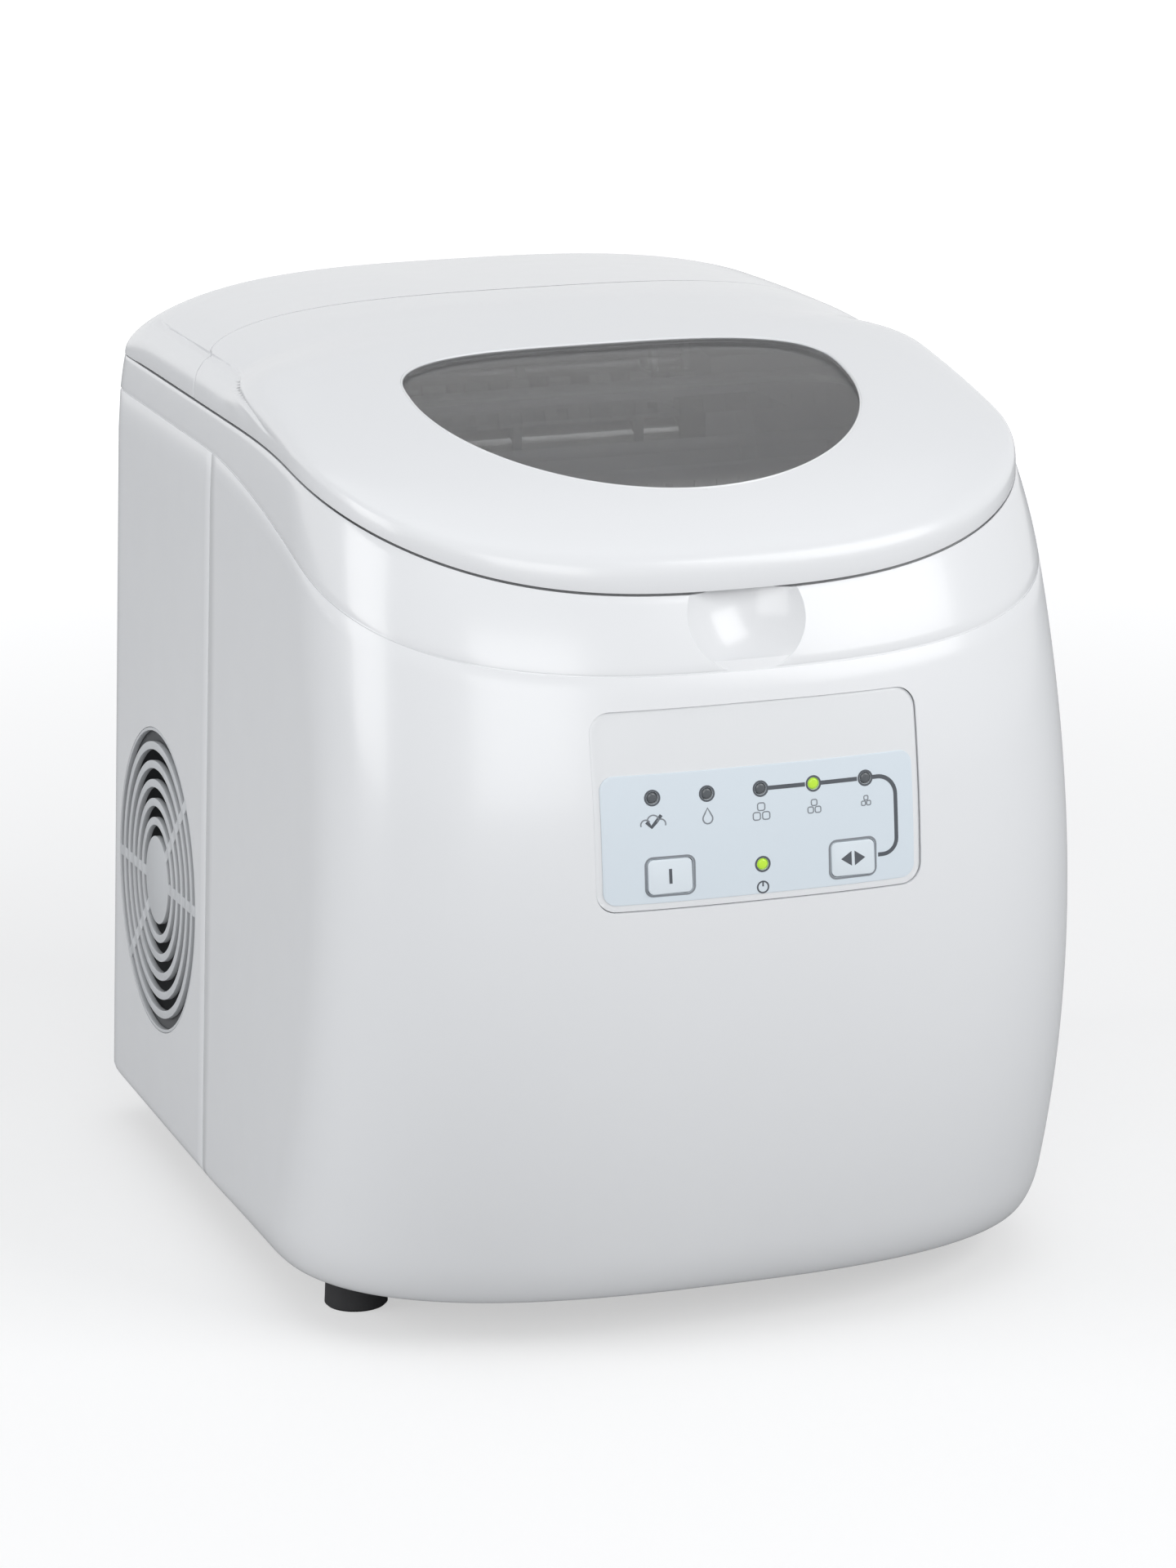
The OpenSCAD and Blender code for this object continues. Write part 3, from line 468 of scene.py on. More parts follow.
def moulded_surface():
    """Slight cloudiness, a fine moulded grain and an uneven polish for plastics and rubber."""
    inputs = [("Colour", 'NodeSocketColor', (0.8, 0.8, 0.8, 1)),
              ("Cloud", 'NodeSocketColor', (0.75, 0.75, 0.75, 1)),
              ("Grain Scale", 'NodeSocketFloat', 900.0), ("Smooth", 'NodeSocketFloat', 0.2),
              ("Rough", 'NodeSocketFloat', 0.3)]
    group, given, out = new_group("moulded_surface", inputs, SURFACE_OUTPUTS)
    place = group.nodes.new('ShaderNodeTexCoord')
    cloud, grain, wear = noise(group, 3.0, 9.0), noise(group, 2.0), noise(group, 4.0, 38.0)
    for pattern in (cloud, grain, wear):
        group.links.new(place.outputs['Object'], pattern.inputs['Vector'])
    group.links.new(given.outputs['Grain Scale'], grain.inputs['Scale'])
    put_out(group, given, out, "Cloud", cloud, wear, grain, (0.1, 0.9))
    return group


def drawn_metal():
    """Fine streaks along one way for sheet metal, pipes and fins."""
    inputs = [("Colour", 'NodeSocketColor', (0.7, 0.7, 0.7, 1)),
              ("Streak", 'NodeSocketColor', (0.5, 0.5, 0.5, 1)),
              ("Smooth", 'NodeSocketFloat', 0.2), ("Rough", 'NodeSocketFloat', 0.4)]
    group, given, out = new_group("drawn_metal", inputs, SURFACE_OUTPUTS)
    place = group.nodes.new('ShaderNodeTexCoord')
    stretch = group.nodes.new('ShaderNodeMapping')
    stretch.inputs['Scale'].default_value = (60.0, 900.0, 700.0)
    streaks = noise(group, 3.0, 1.0)
    group.links.new(place.outputs['Object'], stretch.inputs['Vector'])
    group.links.new(stretch.outputs['Vector'], streaks.inputs['Vector'])
    put_out(group, given, out, "Streak", streaks, streaks, streaks)
    return group


MOULDED = moulded_surface()
DRAWN = drawn_metal()


def finish_material(name, group, settings, bump=0.02, **shader_values):
    """A Principled material fed by one surface group; whatever is the same all over sits on the shader."""
    material = bpy.data.materials.new(name)
    material.use_nodes = True
    tree = material.node_tree
    shader = tree.nodes['Principled BSDF']
    surface = tree.nodes.new('ShaderNodeGroup')
    surface.node_tree = group
    for key, value in settings.items():
        surface.inputs[key].default_value = (*value, 1.0) if isinstance(value, tuple) else value
    height = tree.nodes.new('ShaderNodeBump')
    height.inputs['Strength'].default_value = bump
    height.inputs['Distance'].default_value = 0.0003
    tree.links.new(surface.outputs['Colour'], shader.inputs['Base Color'])
    tree.links.new(surface.outputs['Roughness'], shader.inputs['Roughness'])
    tree.links.new(surface.outputs['Height'], height.inputs['Height'])
    tree.links.new(height.outputs['Normal'], shader.inputs['Normal'])
    for key, value in shader_values.items():
        shader.inputs[key.replace("_", " ")].default_value = value
    return material


def plastic(name, colour, cloud, smooth_to, rough_to, grain=900.0, bump=0.02, **more):
    return finish_material(name, MOULDED, {"Colour": colour, "Cloud": cloud, "Grain Scale": grain,
                                           "Smooth": smooth_to, "Rough": rough_to}, bump, **more)


def metal(name, colour, streak, smooth_to, rough_to, bump=0.05, **more):
    return finish_material(name, DRAWN, {"Colour": colour, "Streak": streak, "Smooth": smooth_to,
                                         "Rough": rough_to}, bump, Metallic=1.0, **more)


SHELL = plastic("gloss_white_shell", (0.83, 0.838, 0.85), (0.818, 0.827, 0.84), 0.22, 0.28, 1400.0, 0.01,
                Coat_Weight=0.12, Coat_Roughness=0.1)
COLLAR = plastic("gloss_white_collar", (0.825, 0.833, 0.845), (0.813, 0.822, 0.835), 0.2, 0.26, 1400.0, 0.01,
                 Coat_Weight=0.2, Coat_Roughness=0.1)
BEZEL = plastic("satin_bezel", (0.80, 0.81, 0.82), (0.785, 0.797, 0.81), 0.3, 0.38, 1800.0, 0.03)
LABEL = plastic("pale_blue_label", (0.72, 0.79, 0.845), (0.705, 0.778, 0.835), 0.34, 0.42, 2600.0, 0.05)
KEY = plastic("pale_blue_key", (0.745, 0.805, 0.85), (0.73, 0.795, 0.84), 0.3, 0.36, 2200.0, 0.04)
PALE_INK = plastic("pale_print", (0.22, 0.24, 0.265), (0.25, 0.27, 0.295), 0.4, 0.5, 2000.0, 0.02)
INK = plastic("grey_print", (0.075, 0.085, 0.10), (0.095, 0.105, 0.12), 0.4, 0.5, 2000.0, 0.02)
GRILLE = plastic("satin_grille", (0.62, 0.635, 0.65), (0.60, 0.615, 0.63), 0.34, 0.42, 1500.0, 0.04)
INNER = plastic("inner_plastic", (0.62, 0.635, 0.65), (0.59, 0.605, 0.62), 0.35, 0.45, 900.0, 0.05)
DARK = plastic("dark_plastic", (0.05, 0.053, 0.057), (0.07, 0.073, 0.077), 0.4, 0.55, 900.0, 0.08)
RUBBER = plastic("black_rubber", (0.012, 0.012, 0.014), (0.022, 0.022, 0.024), 0.6, 0.78, 700.0, 0.2)
CAN = plastic("black_can", (0.01, 0.01, 0.012), (0.02, 0.02, 0.022), 0.22, 0.34, 300.0, 0.1)
SILICONE = plastic("clear_hose", (0.7, 0.71, 0.72), (0.66, 0.67, 0.68), 0.3, 0.4, 500.0, 0.03)
BOARD = plastic("board_green", (0.03, 0.14, 0.055), (0.025, 0.11, 0.045), 0.3, 0.45, 400.0, 0.1)
LIGHT_OFF = plastic("dark_lens", (0.10, 0.11, 0.12), (0.13, 0.14, 0.15), 0.12, 0.2, 900.0, 0.01)
LIGHT_ON = plastic("green_lens", (0.38, 0.58, 0.03), (0.45, 0.66, 0.06), 0.12, 0.2, 900.0, 0.01,
                   Emission_Color=(0.45, 0.75, 0.05, 1.0), Emission_Strength=0.35)
ZINC = metal("zinc_sheet", (0.62, 0.63, 0.65), (0.50, 0.51, 0.53), 0.35, 0.5)
STEEL = metal("steel_pin", (0.66, 0.66, 0.67), (0.52, 0.52, 0.53), 0.2, 0.35)
EVAPORATOR = metal("plated_evaporator", (0.78, 0.78, 0.77), (0.66, 0.66, 0.65), 0.14, 0.24)
FIN = metal("fin_aluminium", (0.66, 0.67, 0.68), (0.52, 0.53, 0.54), 0.3, 0.45)
COPPER = metal("copper_pipe", (0.60, 0.28, 0.15), (0.45, 0.19, 0.10), 0.25, 0.4)


def smoked():
    """Grey see-through plastic with a faint cloud in it."""
    material = plastic("smoked_plastic", (0.13, 0.137, 0.146), (0.11, 0.117, 0.125), 0.03, 0.06, 600.0,
                       0.004)
    shader = material.node_tree.nodes['Principled BSDF']
    shader.inputs['Transmission Weight'].default_value = 0.92
    shader.inputs['IOR'].default_value = 1.33
    shader.inputs['Alpha'].default_value = 0.62
    return material


SMOKED = smoked()

SLOT_MATERIAL = {"white_shell": SHELL, "smoked_window": SMOKED, "bezel": BEZEL, "label": LABEL, "keys": KEY,
                 "light_green": LIGHT_ON, "light_dark": LIGHT_OFF, "grille": GRILLE, "inner_plastic": INNER,
                 "dark_plastic": DARK, "zinc_steel": ZINC, "steel_pin": STEEL, "evaporator_metal": EVAPORATOR,
                 "fin_aluminium": FIN, "black_can": CAN, "black_rubber": RUBBER, "copper": COPPER,
                 "board": BOARD, "silicone": SILICONE}
for part in frame["record"]["subparts"]:
    node = NODES[part["node"]]
    node.data.materials.clear()
    node.data.materials.append(SLOT_MATERIAL[part["material_slot"]])


# ------------------------------------------------------------------ front cover
def wall_place(station, share, curl, curl_share):
    """Point of a side wall; the rows stand closer in the curl at its foot."""
    top = on_line(station, collar_line).z - SEAM_GAP
    if share < curl_share:
        return skin(station, SHELL_BOTTOM + curl * (share / curl_share) ** 2)
    rise = (top - SHELL_BOTTOM - curl) * (share - curl_share) / (1 - curl_share)
    return skin(station, SHELL_BOTTOM + curl + rise)


def cover_place(station, share):
    return wall_place(station, share, 26, 0.3)


def side_run(side, share):
    """Station on a straight side of the front cover; share 0 is where the corner starts."""
    return ("side", (side, None, share))


front_outline = ([side_run(-1, 1 - k / 14) for k in range(14)] + [("front", a) for a in FRONT_ANGLES]
                 + [side_run(1, (k + 1) / 14) for k in range(14)])
front_cover = moulded_sheet("front_cover_shell", front_outline, [k / 44 for k in range(45)], cover_place)
cut(front_cover, round_bar("bezel_opening", PANEL_WIDTH + 2 * PANEL_GAP, PANEL_HEIGHT + 2 * PANEL_GAP,
                           PANEL_CORNER + PANEL_GAP, -260, -200, 0, PANEL_Z))
dress(smooth(front_cover), "chassis", "white_shell", SHELL, "front_cover")


# ------------------------------------------------------------------ rear cabinet
def cabinet_place(station, share):
    return wall_place(station, share, 8, 0.25)


def back_run(side, share):
    """Station on a straight side of the cabinet; share 0 is the upright seam."""
    return ("back side", (side, SEAM_Y + SEAM_GAP, share))


cabinet_outline = ([back_run(1, k / 16) for k in range(16)] + [("rear", a) for a in reversed(REAR_ANGLES)]
                   + [back_run(-1, 1 - (k + 1) / 16) for k in range(16)])
cabinet = moulded_sheet("rear_cabinet_shell", cabinet_outline, [k / 24 for k in range(25)], cabinet_place)
lean = math.atan(SIDE_DRAFT)
fan_centre = Vector((-half_width(GRILLE_Z), GRILLE_Y, GRILLE_Z))
fan_axis = Vector((-math.cos(lean), 0.0, math.sin(lean)))
openings = [rod("grille_opening", fan_centre - fan_axis * 12, fan_centre + fan_axis * 12, GRILLE_R + 0.3, 96),
            rod("gland_opening", (GLAND_X, 200, GLAND_Z), (GLAND_X, 260, GLAND_Z), GLAND_R)]
openings += [slab("side_louvre", (160, y, z), (200, y + 48, z + LOUVRE_HEIGHT))
             for z in range(80, 213, LOUVRE_PITCH) for y in (88, 146)]
openings += [slab("rear_louvre", (-55, 215, z), (55, 250, z + LOUVRE_HEIGHT))
             for z in range(240, 325, LOUVRE_PITCH)]
cut(cabinet, join(*openings))
dress(smooth(cabinet), "chassis", "white_shell", SHELL, "rear_cabinet")


# ------------------------------------------------------------------ collar and its deck
collar_outline = ([("front", a) for a in FRONT_ANGLES]
                  + [("back side", (1, None, (k + 1) / 24)) for k in range(23)]
                  + [("rear", a) for a in reversed(REAR_ANGLES)]
                  + [("back side", (-1, None, 1 - (k + 1) / 24)) for k in range(24)])


def collar_place(station, share):
    low, high = on_line(station, collar_line).z + 0.1, on_line(station, lid_line).z - 0.3
    return skin(station, low + (high - low) * share)


def in_tank(x, y):
    """Whether a place in plan lies inside the tank, whose corners are rounder in front."""
    corner = TANK_FRONT_CORNER if y < 0 else TANK_REAR_CORNER
    across = abs(x) - (TANK_HALF_WIDTH - corner)
    along = (TANK_FRONT + corner - y) if y < TANK_MIDDLE else (y - (TANK_REAR - corner))
    if across > 0 and along > 0:
        return across * across + along * along <= corner * corner
    return abs(x) <= TANK_HALF_WIDTH and TANK_FRONT <= y <= TANK_REAR


def tank_edge(direction):
    """Distance from the middle of the tank to its inner wall along a level direction."""
    near, far = 0.0, 400.0
    for _ in range(40):
        middle = (near + far) / 2
        if in_tank(direction.x * middle, TANK_MIDDLE + direction.y * middle):
            near = middle
        else:
            far = middle
    return near


def deck_place(station, share):
    """Point of the deck, which runs from under the lid's seam in to the tank."""
    outer = on_line(station, lid_line, WALL / 2)
    way = Vector((outer.x, outer.y - TANK_MIDDLE)).normalized()
    inner = way * tank_edge(way)
    x = outer.x + (inner.x - outer.x) * share
    y = outer.y + (inner.y + TANK_MIDDLE - outer.y) * share
    return Vector((x, y, lid_line(y) - 3))


collar = moulded_sheet("collar_band", collar_outline, [k / 8 for k in range(9)], collar_place,
                       closed=True, soften=0)
deck = moulded_sheet("collar_deck", collar_outline, [k / 12 for k in range(13)], deck_place, 2.5,
                     closed=True, soften=0)
cut(collar, deck, 'UNION')

# finger notch: a ball is scooped out, and a pocket with the wall's thickness stands behind it
NOTCH_TOP = on_line(("front", math.pi / 2), lid_line).z - 0.5
NOTCH_BALL = (NOTCH_HALF ** 2 + NOTCH_DEPTH ** 2) / (2 * NOTCH_DEPTH)
notch_centre = Vector((0.0, belly_line(NOTCH_RIM_Z) + NOTCH_DEPTH - NOTCH_BALL, NOTCH_Z))


def ball(name, radius):
    deselect()
    bpy.ops.mesh.primitive_uv_sphere_add(segments=128, ring_count=96, radius=radius * MM,
                                         location=notch_centre * MM, rotation=(math.radians(90), 0, 0))
    return settle(named(name))


def behind_front(column, share):
    z = NOTCH_FOOT + (NOTCH_TOP - NOTCH_FOOT) * share
    return Vector((column, front_depth(column, z) + 0.6 + tuck(z, FRONT), z))


pocket = moulded_sheet("notch_pocket", range(-50, 51, 2), [k / 16 for k in range(17)], behind_front,
                       thick=0, soften=0)
edit_all(pocket)
bpy.ops.mesh.extrude_region_move(TRANSFORM_OT_translate={"value": (0, 34 * MM, 0)})
bpy.ops.mesh.select_all(action='SELECT')
bpy.ops.mesh.normals_make_consistent(inside=False)
bpy.ops.object.mode_set(mode='OBJECT')
cut(pocket, ball("pocket_form", NOTCH_BALL + WALL), 'INTERSECT')
cut(collar, pocket, 'UNION')
cut(collar, ball("notch_scoop", NOTCH_BALL))
collar.name = "top_collar_shell"
soften_edges(collar, 0.3)
dress(smooth(collar), "chassis", "white_shell", COLLAR, "top_collar")


# ------------------------------------------------------------------ inner lip behind the seam of the collar
def collar_lip_place(station, share):
    return on_line(station, collar_line, 1.5, 3.0 - 6.0 * share)


lip = moulded_sheet("collar_lip", collar_outline, [k / 4 for k in range(5)], collar_lip_place, 1.0,
                    closed=True, soften=0)
dress(smooth(lip), "chassis", "white_shell", COLLAR)


# ------------------------------------------------------------------ rear cover and lid
REAR_TOP_FOOT = LID_GAP + 0.3
FLANK_RISE = 41.1        # height of the top over its edge, by the flank groove
# columns of the top, as shares of its half width
SHARES = [-power(math.cos(math.pi * j / 140), 2 / 3.2) for j in range(141)]
# close columns where the flank groove runs, so that they step evenly in height there
FLANK = [(1 - ((9.6 + 0.44 * k) / FLANK_RISE) ** TOP_FORM_FRONT) ** (1 / TOP_FORM_FRONT) for k in range(43)]
SHARES = sorted([c for c in SHARES if not 0.967 < abs(c) < 0.9998]
                + [side * c for side in (-1, 1) for c in FLANK])


def rear_top_place(c, share):
    """Point of the rear cover: its upright rear up to half the rows, then its top."""
    edge = skin(("rear", math.acos(max(-1.0, min(1.0, power(c, REAR_FORM / 2))))), REAR_TOP_FOOT)
    start = REAR - 23.5 - 59.5 * abs(c) ** 3
    if share <= 0.5:
        b = math.pi / 2 * (1 - share / 0.5)
        z = dome(c, start, 0.0)
        y = start + (edge.y - start) * math.sin(b)
        z = REAR_TOP_FOOT + (z - REAR_TOP_FOOT) * max(0.0, math.cos(b)) ** 0.8
        return Vector((c * dome_width(start), y, z))
    y = start + (HINGE_Y + SEAM_GAP - start) * (share - 0.5) / 0.5
    return Vector((c * dome_width(y), y, dome(c, y, 0.0)))


def along_hinge(name, low_x, high_x, radius, sides=32):
    return rod(name, (low_x, HINGE_Y, HINGE_Z), (high_x, HINGE_Y, HINGE_Z), radius, sides)


rear_top = moulded_sheet("rear_top_shell", [-c for c in SHARES], [k / 44 for k in range(45)], rear_top_place)
cut(rear_top, along_hinge("ear_clearance", -200, 200, EAR + SEAM_GAP, 96))
carve_grooves(rear_top)
dress(smooth(rear_top), "chassis", "white_shell", SHELL, "rear_top_cover")

OUTLINES = {c: outline_at(c) for c in SHARES}


def lid_place(c, share):
    """Point of the lid, from its front edge back past the hinge."""
    edge = OUTLINES[c]
    y = edge.y + (HINGE_Y + EAR + 4 - edge.y) * share ** 2.2
    return Vector((c * dome_width(y), y, dome(c, y, lip_share(y, edge))))


lid = moulded_sheet("lid_moulding", SHARES, [k / 64 for k in range(65)], lid_place)
back = slab("behind_hinge", (-200, HINGE_Y, 300), (200, HINGE_Y + 30, 460))
cut(back, along_hinge("ear_keep", -201, 201, EAR, 96))
cut(lid, back)

WINDOW_HALF, WINDOW_Y = 104.0, -66.0
WINDOW_REAR, WINDOW_FRONT = 50.0, 100.0
WINDOW_FORM = 3.2        # exponent of the window's squarer rear half; its front half is an ellipse


def window_outline(a, grow=0.0):
    """Place in plan on the window's outline, at an angle round its middle."""
    c, s = math.cos(a), math.sin(a)
    if s > 0:
        return Vector(((WINDOW_HALF + grow) * power(c, 2 / WINDOW_FORM),
                       WINDOW_Y + (WINDOW_REAR + grow) * s ** (2 / WINDOW_FORM)))
    return Vector(((WINDOW_HALF + grow) * c, WINDOW_Y + (WINDOW_FRONT + grow) * s))


deselect()
bpy.ops.mesh.primitive_cylinder_add(vertices=160, radius=1, depth=0.3, location=(0, 0, 0.4))
window_tool = settle(named("window_tool"))
for v in window_tool.data.vertices:
    p = window_outline(math.atan2(v.co.y, v.co.x), 0.4)
    v.co.x, v.co.y = p.x * MM, p.y * MM
cut(lid, window_tool)
for x in KNUCKLES:
    cut(lid, along_hinge("knuckle", x - 6, x + 6, 4.6), 'UNION')
cut(lid, along_hinge("pin_bore", -100, 100, 1.66))
carve_grooves(lid)
dress(smooth(lid), "lid", "white_shell", SHELL, "lid_shell")

# the pane is a disc laid from a square, so that no point crowds its middle
pane = grid("window_pane", 72, 72)
for v in pane.data.vertices:
    dx, dy = v.co.x * math.sqrt(1 - v.co.y ** 2 / 2), v.co.y * math.sqrt(1 - v.co.x ** 2 / 2)
    reach = math.hypot(dx, dy)
    edge = window_outline(math.atan2(dy, dx)) if reach > 1e-6 else Vector((0, 0))
    x, y = edge.x * reach, WINDOW_Y + (edge.y - WINDOW_Y) * reach
    v.co = Vector((x, y, top_at(x, y) - 0.35)) * MM
finish_with(pane, 'SOLIDIFY', thickness=2.4 * MM, offset=-1)
soften_edges(pane, 0.4, angle=55)
dress(smooth(pane), "lid", "smoked_window", SMOKED, "lid_window")

# retaining rim round the pane
rim = grid("window_rim", 160, 8)
for v in rim.data.vertices:
    a = math.pi * (v.co.x + 1)
    t = math.pi * (v.co.y + 1)
    p = window_outline(a, 0.55 * math.cos(t) - 0.1)
    v.co = Vector((p.x, p.y, top_at(p.x, p.y) - 0.4 + 0.9 * math.sin(t))) * MM
weld(rim, 2e-6)
dress(smooth(rim, 60), "lid", "white_shell", COLLAR)


# ------------------------------------------------------------------ control panel
LABEL_DEPTH = 0.85
KEYS = {"power": -41.9, "select": 41.9}
KEY_Z = 228.0
KEY_DEPTH = 6.6
# width, height and corner radius of a key, of its opening and of the frame printed round it
KEY_CAP, KEY_OPENING, KEY_FRAME = (20.0, 15.0, 2.5), (20.7, 15.7, 2.9), (21.8, 16.8, 3.3)
LIGHT_PITCH, LIGHT_ROW = 24.4, 262.4
LIGHTS = [((i - 2) * LIGHT_PITCH, LIGHT_ROW) for i in range(5)] + [(0.0, 229.5)]
LIT = (3, 5)
PANEL_SLOPE = math.atan((PANEL_Z - BELLY) / FRONT_SWEEP)

bezel = front_plate("bezel_plate", PANEL_WIDTH, PANEL_HEIGHT, PANEL_CORNER, 0, PANEL_Z, 1.2, 2.8, 0.6)
posts = [rod("bezel_post", (x, front_depth(x, z) + 3, z), (x, front_depth(x, z) + 13, z), 3.0, 24)
         for x in (-62, 62) for z in (PANEL_Z - 34, PANEL_Z + 34)]
cut(bezel, join(*posts), 'UNION')
label = front_plate("label_sheet", 143.0, 56.0, 6.0, 0, PANEL_Z - 12, LABEL_DEPTH, 0.4, 0.1)
for sheet in (bezel, label):
    holes = [round_bar("key_opening", *KEY_OPENING, -260, -200, x, KEY_Z) for x in KEYS.values()]
    holes += [rod("light_opening", (x, -260, z), (x, -200, z), 2.65, 24) for x, z in LIGHTS]
    cut(sheet, join(*holes))
dress(bezel, "chassis", "bezel", BEZEL, "control_bezel")
dress(label, "chassis", "label", LABEL, "control_label")


def key_face(body, z):
    """Depth of the flat face of a key."""
    middle = front_depth(KEYS[body.removesuffix("_key")], KEY_Z) + 0.4
    return middle + (z - KEY_Z) * math.tan(PANEL_SLOPE)


for key, x in KEYS.items():
    cap = round_bar(f"{key}_key_cap", *KEY_CAP, -KEY_DEPTH, 0.0, x, KEY_Z)
    soften_edges(cap, 0.5, 3)
    for v in cap.data.vertices:
        v.co.y += (key_face(key, v.co.z / MM) + KEY_DEPTH) * MM
    dress(smooth(cap, 40), f"{key}_key", "keys", KEY, f"{key}_button")

for i, (x, z) in enumerate(LIGHTS):
    y = front_depth(x, z)
    lens = rod(f"light_{i + 1}_lens", (x, y + 13, z), (x, y + 0.7, z), 2.4, 32)
    soften_edges(lens, 1.1, 4)
    slot, material = ("light_green", LIGHT_ON) if i in LIT else ("light_dark", LIGHT_OFF)
    dress(smooth(lens, 60), "chassis", slot, material, f"indicator_light_{i + 1}")


def printed(piece, body="chassis", ink=INK):
    """Bends a flat print onto the label or a key, and gives it the thickness of ink."""
    for v in piece.data.vertices:
        x, z = v.co.x / MM, v.co.z / MM
        on_label = body == "chassis"
        v.co.y = (front_depth(x, z) + LABEL_DEPTH - 0.04 if on_label else key_face(body, z) - 0.02) * MM
    finish_with(piece, 'SOLIDIFY', thickness=0.08 * MM, offset=0)
    return dress(piece, body, "light_dark", ink)


def print_line(name, path, width, body="chassis", closed=False, ink=INK):
    """A ribbon of even width along a path on the front."""
    points = [Vector(p) for p in path]
    n = len(points)
    last = n if closed else n - 1
    ribbon = grid(name, last, 1)
    for v in ribbon.data.vertices:
        k = round((v.co.x + 1) / 2 * last)
        before = points[(k - 1) % n] if closed else points[max(0, k - 1)]
        after = points[(k + 1) % n] if closed else points[min(n - 1, k + 1)]
        way = (after - before).normalized()
        side = Vector((-way.y, way.x)) * math.copysign(width / 2, v.co.y)
        p = points[k % n] + side
        v.co = Vector((p.x, 0.0, p.y)) * MM
    if closed:
        weld(ribbon)
    return printed(ribbon, body, ink)


def print_patch(name, path, body):
    """A filled print inside a convex outline, one flat face."""
    points = [Vector(p) for p in path]
    n = len(points)
    deselect()
    bpy.ops.mesh.primitive_circle_add(vertices=n, radius=1, fill_type='NGON')
    patch = named(name)
    for k, v in enumerate(patch.data.vertices):
        v.co = Vector((points[k].x, 0.0, points[k].y)) * MM
    return printed(patch, body)


def arc(x, z, r, start, turn, n):
    """Points along an arc; start and turn are in degrees."""
    turns = [math.radians(start + turn * k / n) for k in range(n + 1)]
    return [(x + r * math.cos(a), z + r * math.sin(a)) for a in turns]


def ring(x, z, r):
    return arc(x, z, r, 0, 360, 32)[:-1]


def rounded_box(x, z, w, h, r):
    dx, dz = w / 2 - r, h / 2 - r
    corners = [(dx, dz, 0), (-dx, dz, 90), (-dx, -dz, 180), (dx, -dz, 270)]
    return [p for cx, cz, a in corners for p in arc(x + cx, z + cz, r, a, 90, 6)]


for i, (x, z) in enumerate(LIGHTS):
    print_line(f"print_light_ring_{i + 1}", ring(x, z, 3.15), 0.85, closed=True)

# links between the lights of the cycle, and from the last light down to the select key
LINK = 1.8
for n in range(2):
    start = n * LIGHT_PITCH + 3.4
    print_line(f"print_link_{n + 1}", [(start + 0.9 * k, LIGHT_ROW) for k in range(20)], LINK)
bend, turn_in = arc(54.5, LIGHT_ROW - 8.5, 8.5, 90, -90, 14), arc(56.5, 234.6, 6.5, 0, -90, 12)
print_line("print_link_3", [(52.2, LIGHT_ROW), (53.5, LIGHT_ROW)] + bend
           + [(63.0, 250.0), (63.0, 246.0), (63.0, 242.0)] + turn_in + [(54.0, 228.1)], LINK)

for key, x in KEYS.items():
    print_line(f"print_{key}_frame", rounded_box(x, KEY_Z, *KEY_FRAME), 0.9, closed=True, ink=PALE_INK)
print_line("print_power_bar", [(KEYS["power"], KEY_Z - 3.2 + 0.8 * k) for k in range(9)], 1.4, "power_key")
for side, way in ((-1, "left"), (1, "right")):
    tip, foot = KEYS["select"] + side * 5.6, KEYS["select"] + side * 0.7
    arrow = [(tip, KEY_Z), (foot, KEY_Z + 3.2), (foot, KEY_Z - 3.2)]
    print_patch(f"print_select_arrow_{way}", arrow[::side], "select_key")
print_line("print_power_ring", ring(0.0, 219.3, 2.5), 0.7, closed=True)
print_line("print_power_tick", [(0.0, 219.6 + 0.5 * k) for k in range(6)], 0.7)

# icons under the lights: ice heap, water drop and three sizes of cube
ICON = 252.6
heap_x, drop_x = LIGHTS[0][0], LIGHTS[1][0]
HEAP = (("left", -3.4, -1.6, 2.1, 200, -170, 12), ("middle", 0.0, -0.2, 2.6, 170, -160, 14),
        ("right", 3.4, -1.6, 2.1, 150, -170, 12))
for place, dx, dz, r, start, turn, n in HEAP:
    print_line(f"print_heap_{place}", arc(heap_x + dx, ICON + dz, r, start, turn, n), 0.6, ink=PALE_INK)
TICK = ((-3.0, -0.4), (-1.9, -1.5), (-0.8, -2.8), (1.0, -0.9), (2.8, 1.2), (3.6, 2.2))
print_line("print_heap_tick", [(heap_x + dx, ICON + dz) for dx, dz in TICK], 1.5)
print_line("print_water_drop", [(drop_x, ICON + 3.6), (drop_x - 1.2, ICON + 1.4)]
           + arc(drop_x, ICON - 1.0, 2.2, 155, 230, 18) + [(drop_x + 1.2, ICON + 1.4)], 0.6,
           closed=True, ink=PALE_INK)
CUBE_PLACES = ((-0.62, -0.55), (0.62, -0.55), (0.0, 0.55))
for size, i in ((3.3, 2), (2.6, 3), (1.9, 4)):
    for n, (dx, dz) in enumerate(CUBE_PLACES):
        cube = rounded_box(LIGHTS[i][0] + dx * size * 1.05, ICON + dz * size * 1.1, size, size, size * 0.3)
        print_line(f"print_cube_{i - 1}_{n + 1}", cube, 0.5, closed=True, ink=PALE_INK)


# ------------------------------------------------------------------ fan grille
fan_frame = Matrix.Translation(fan_centre * MM) @ Matrix.Rotation(math.radians(-90) + lean, 4, 'Y')
HUB = 18.0
SLOTS = 6
SLOT_PITCH = (0.985 * GRILLE_R - HUB) / SLOTS


def disc(name, radius, low, high, sides=128):
    return rod(name, (0, 0, low), (0, 0, high), radius, sides)


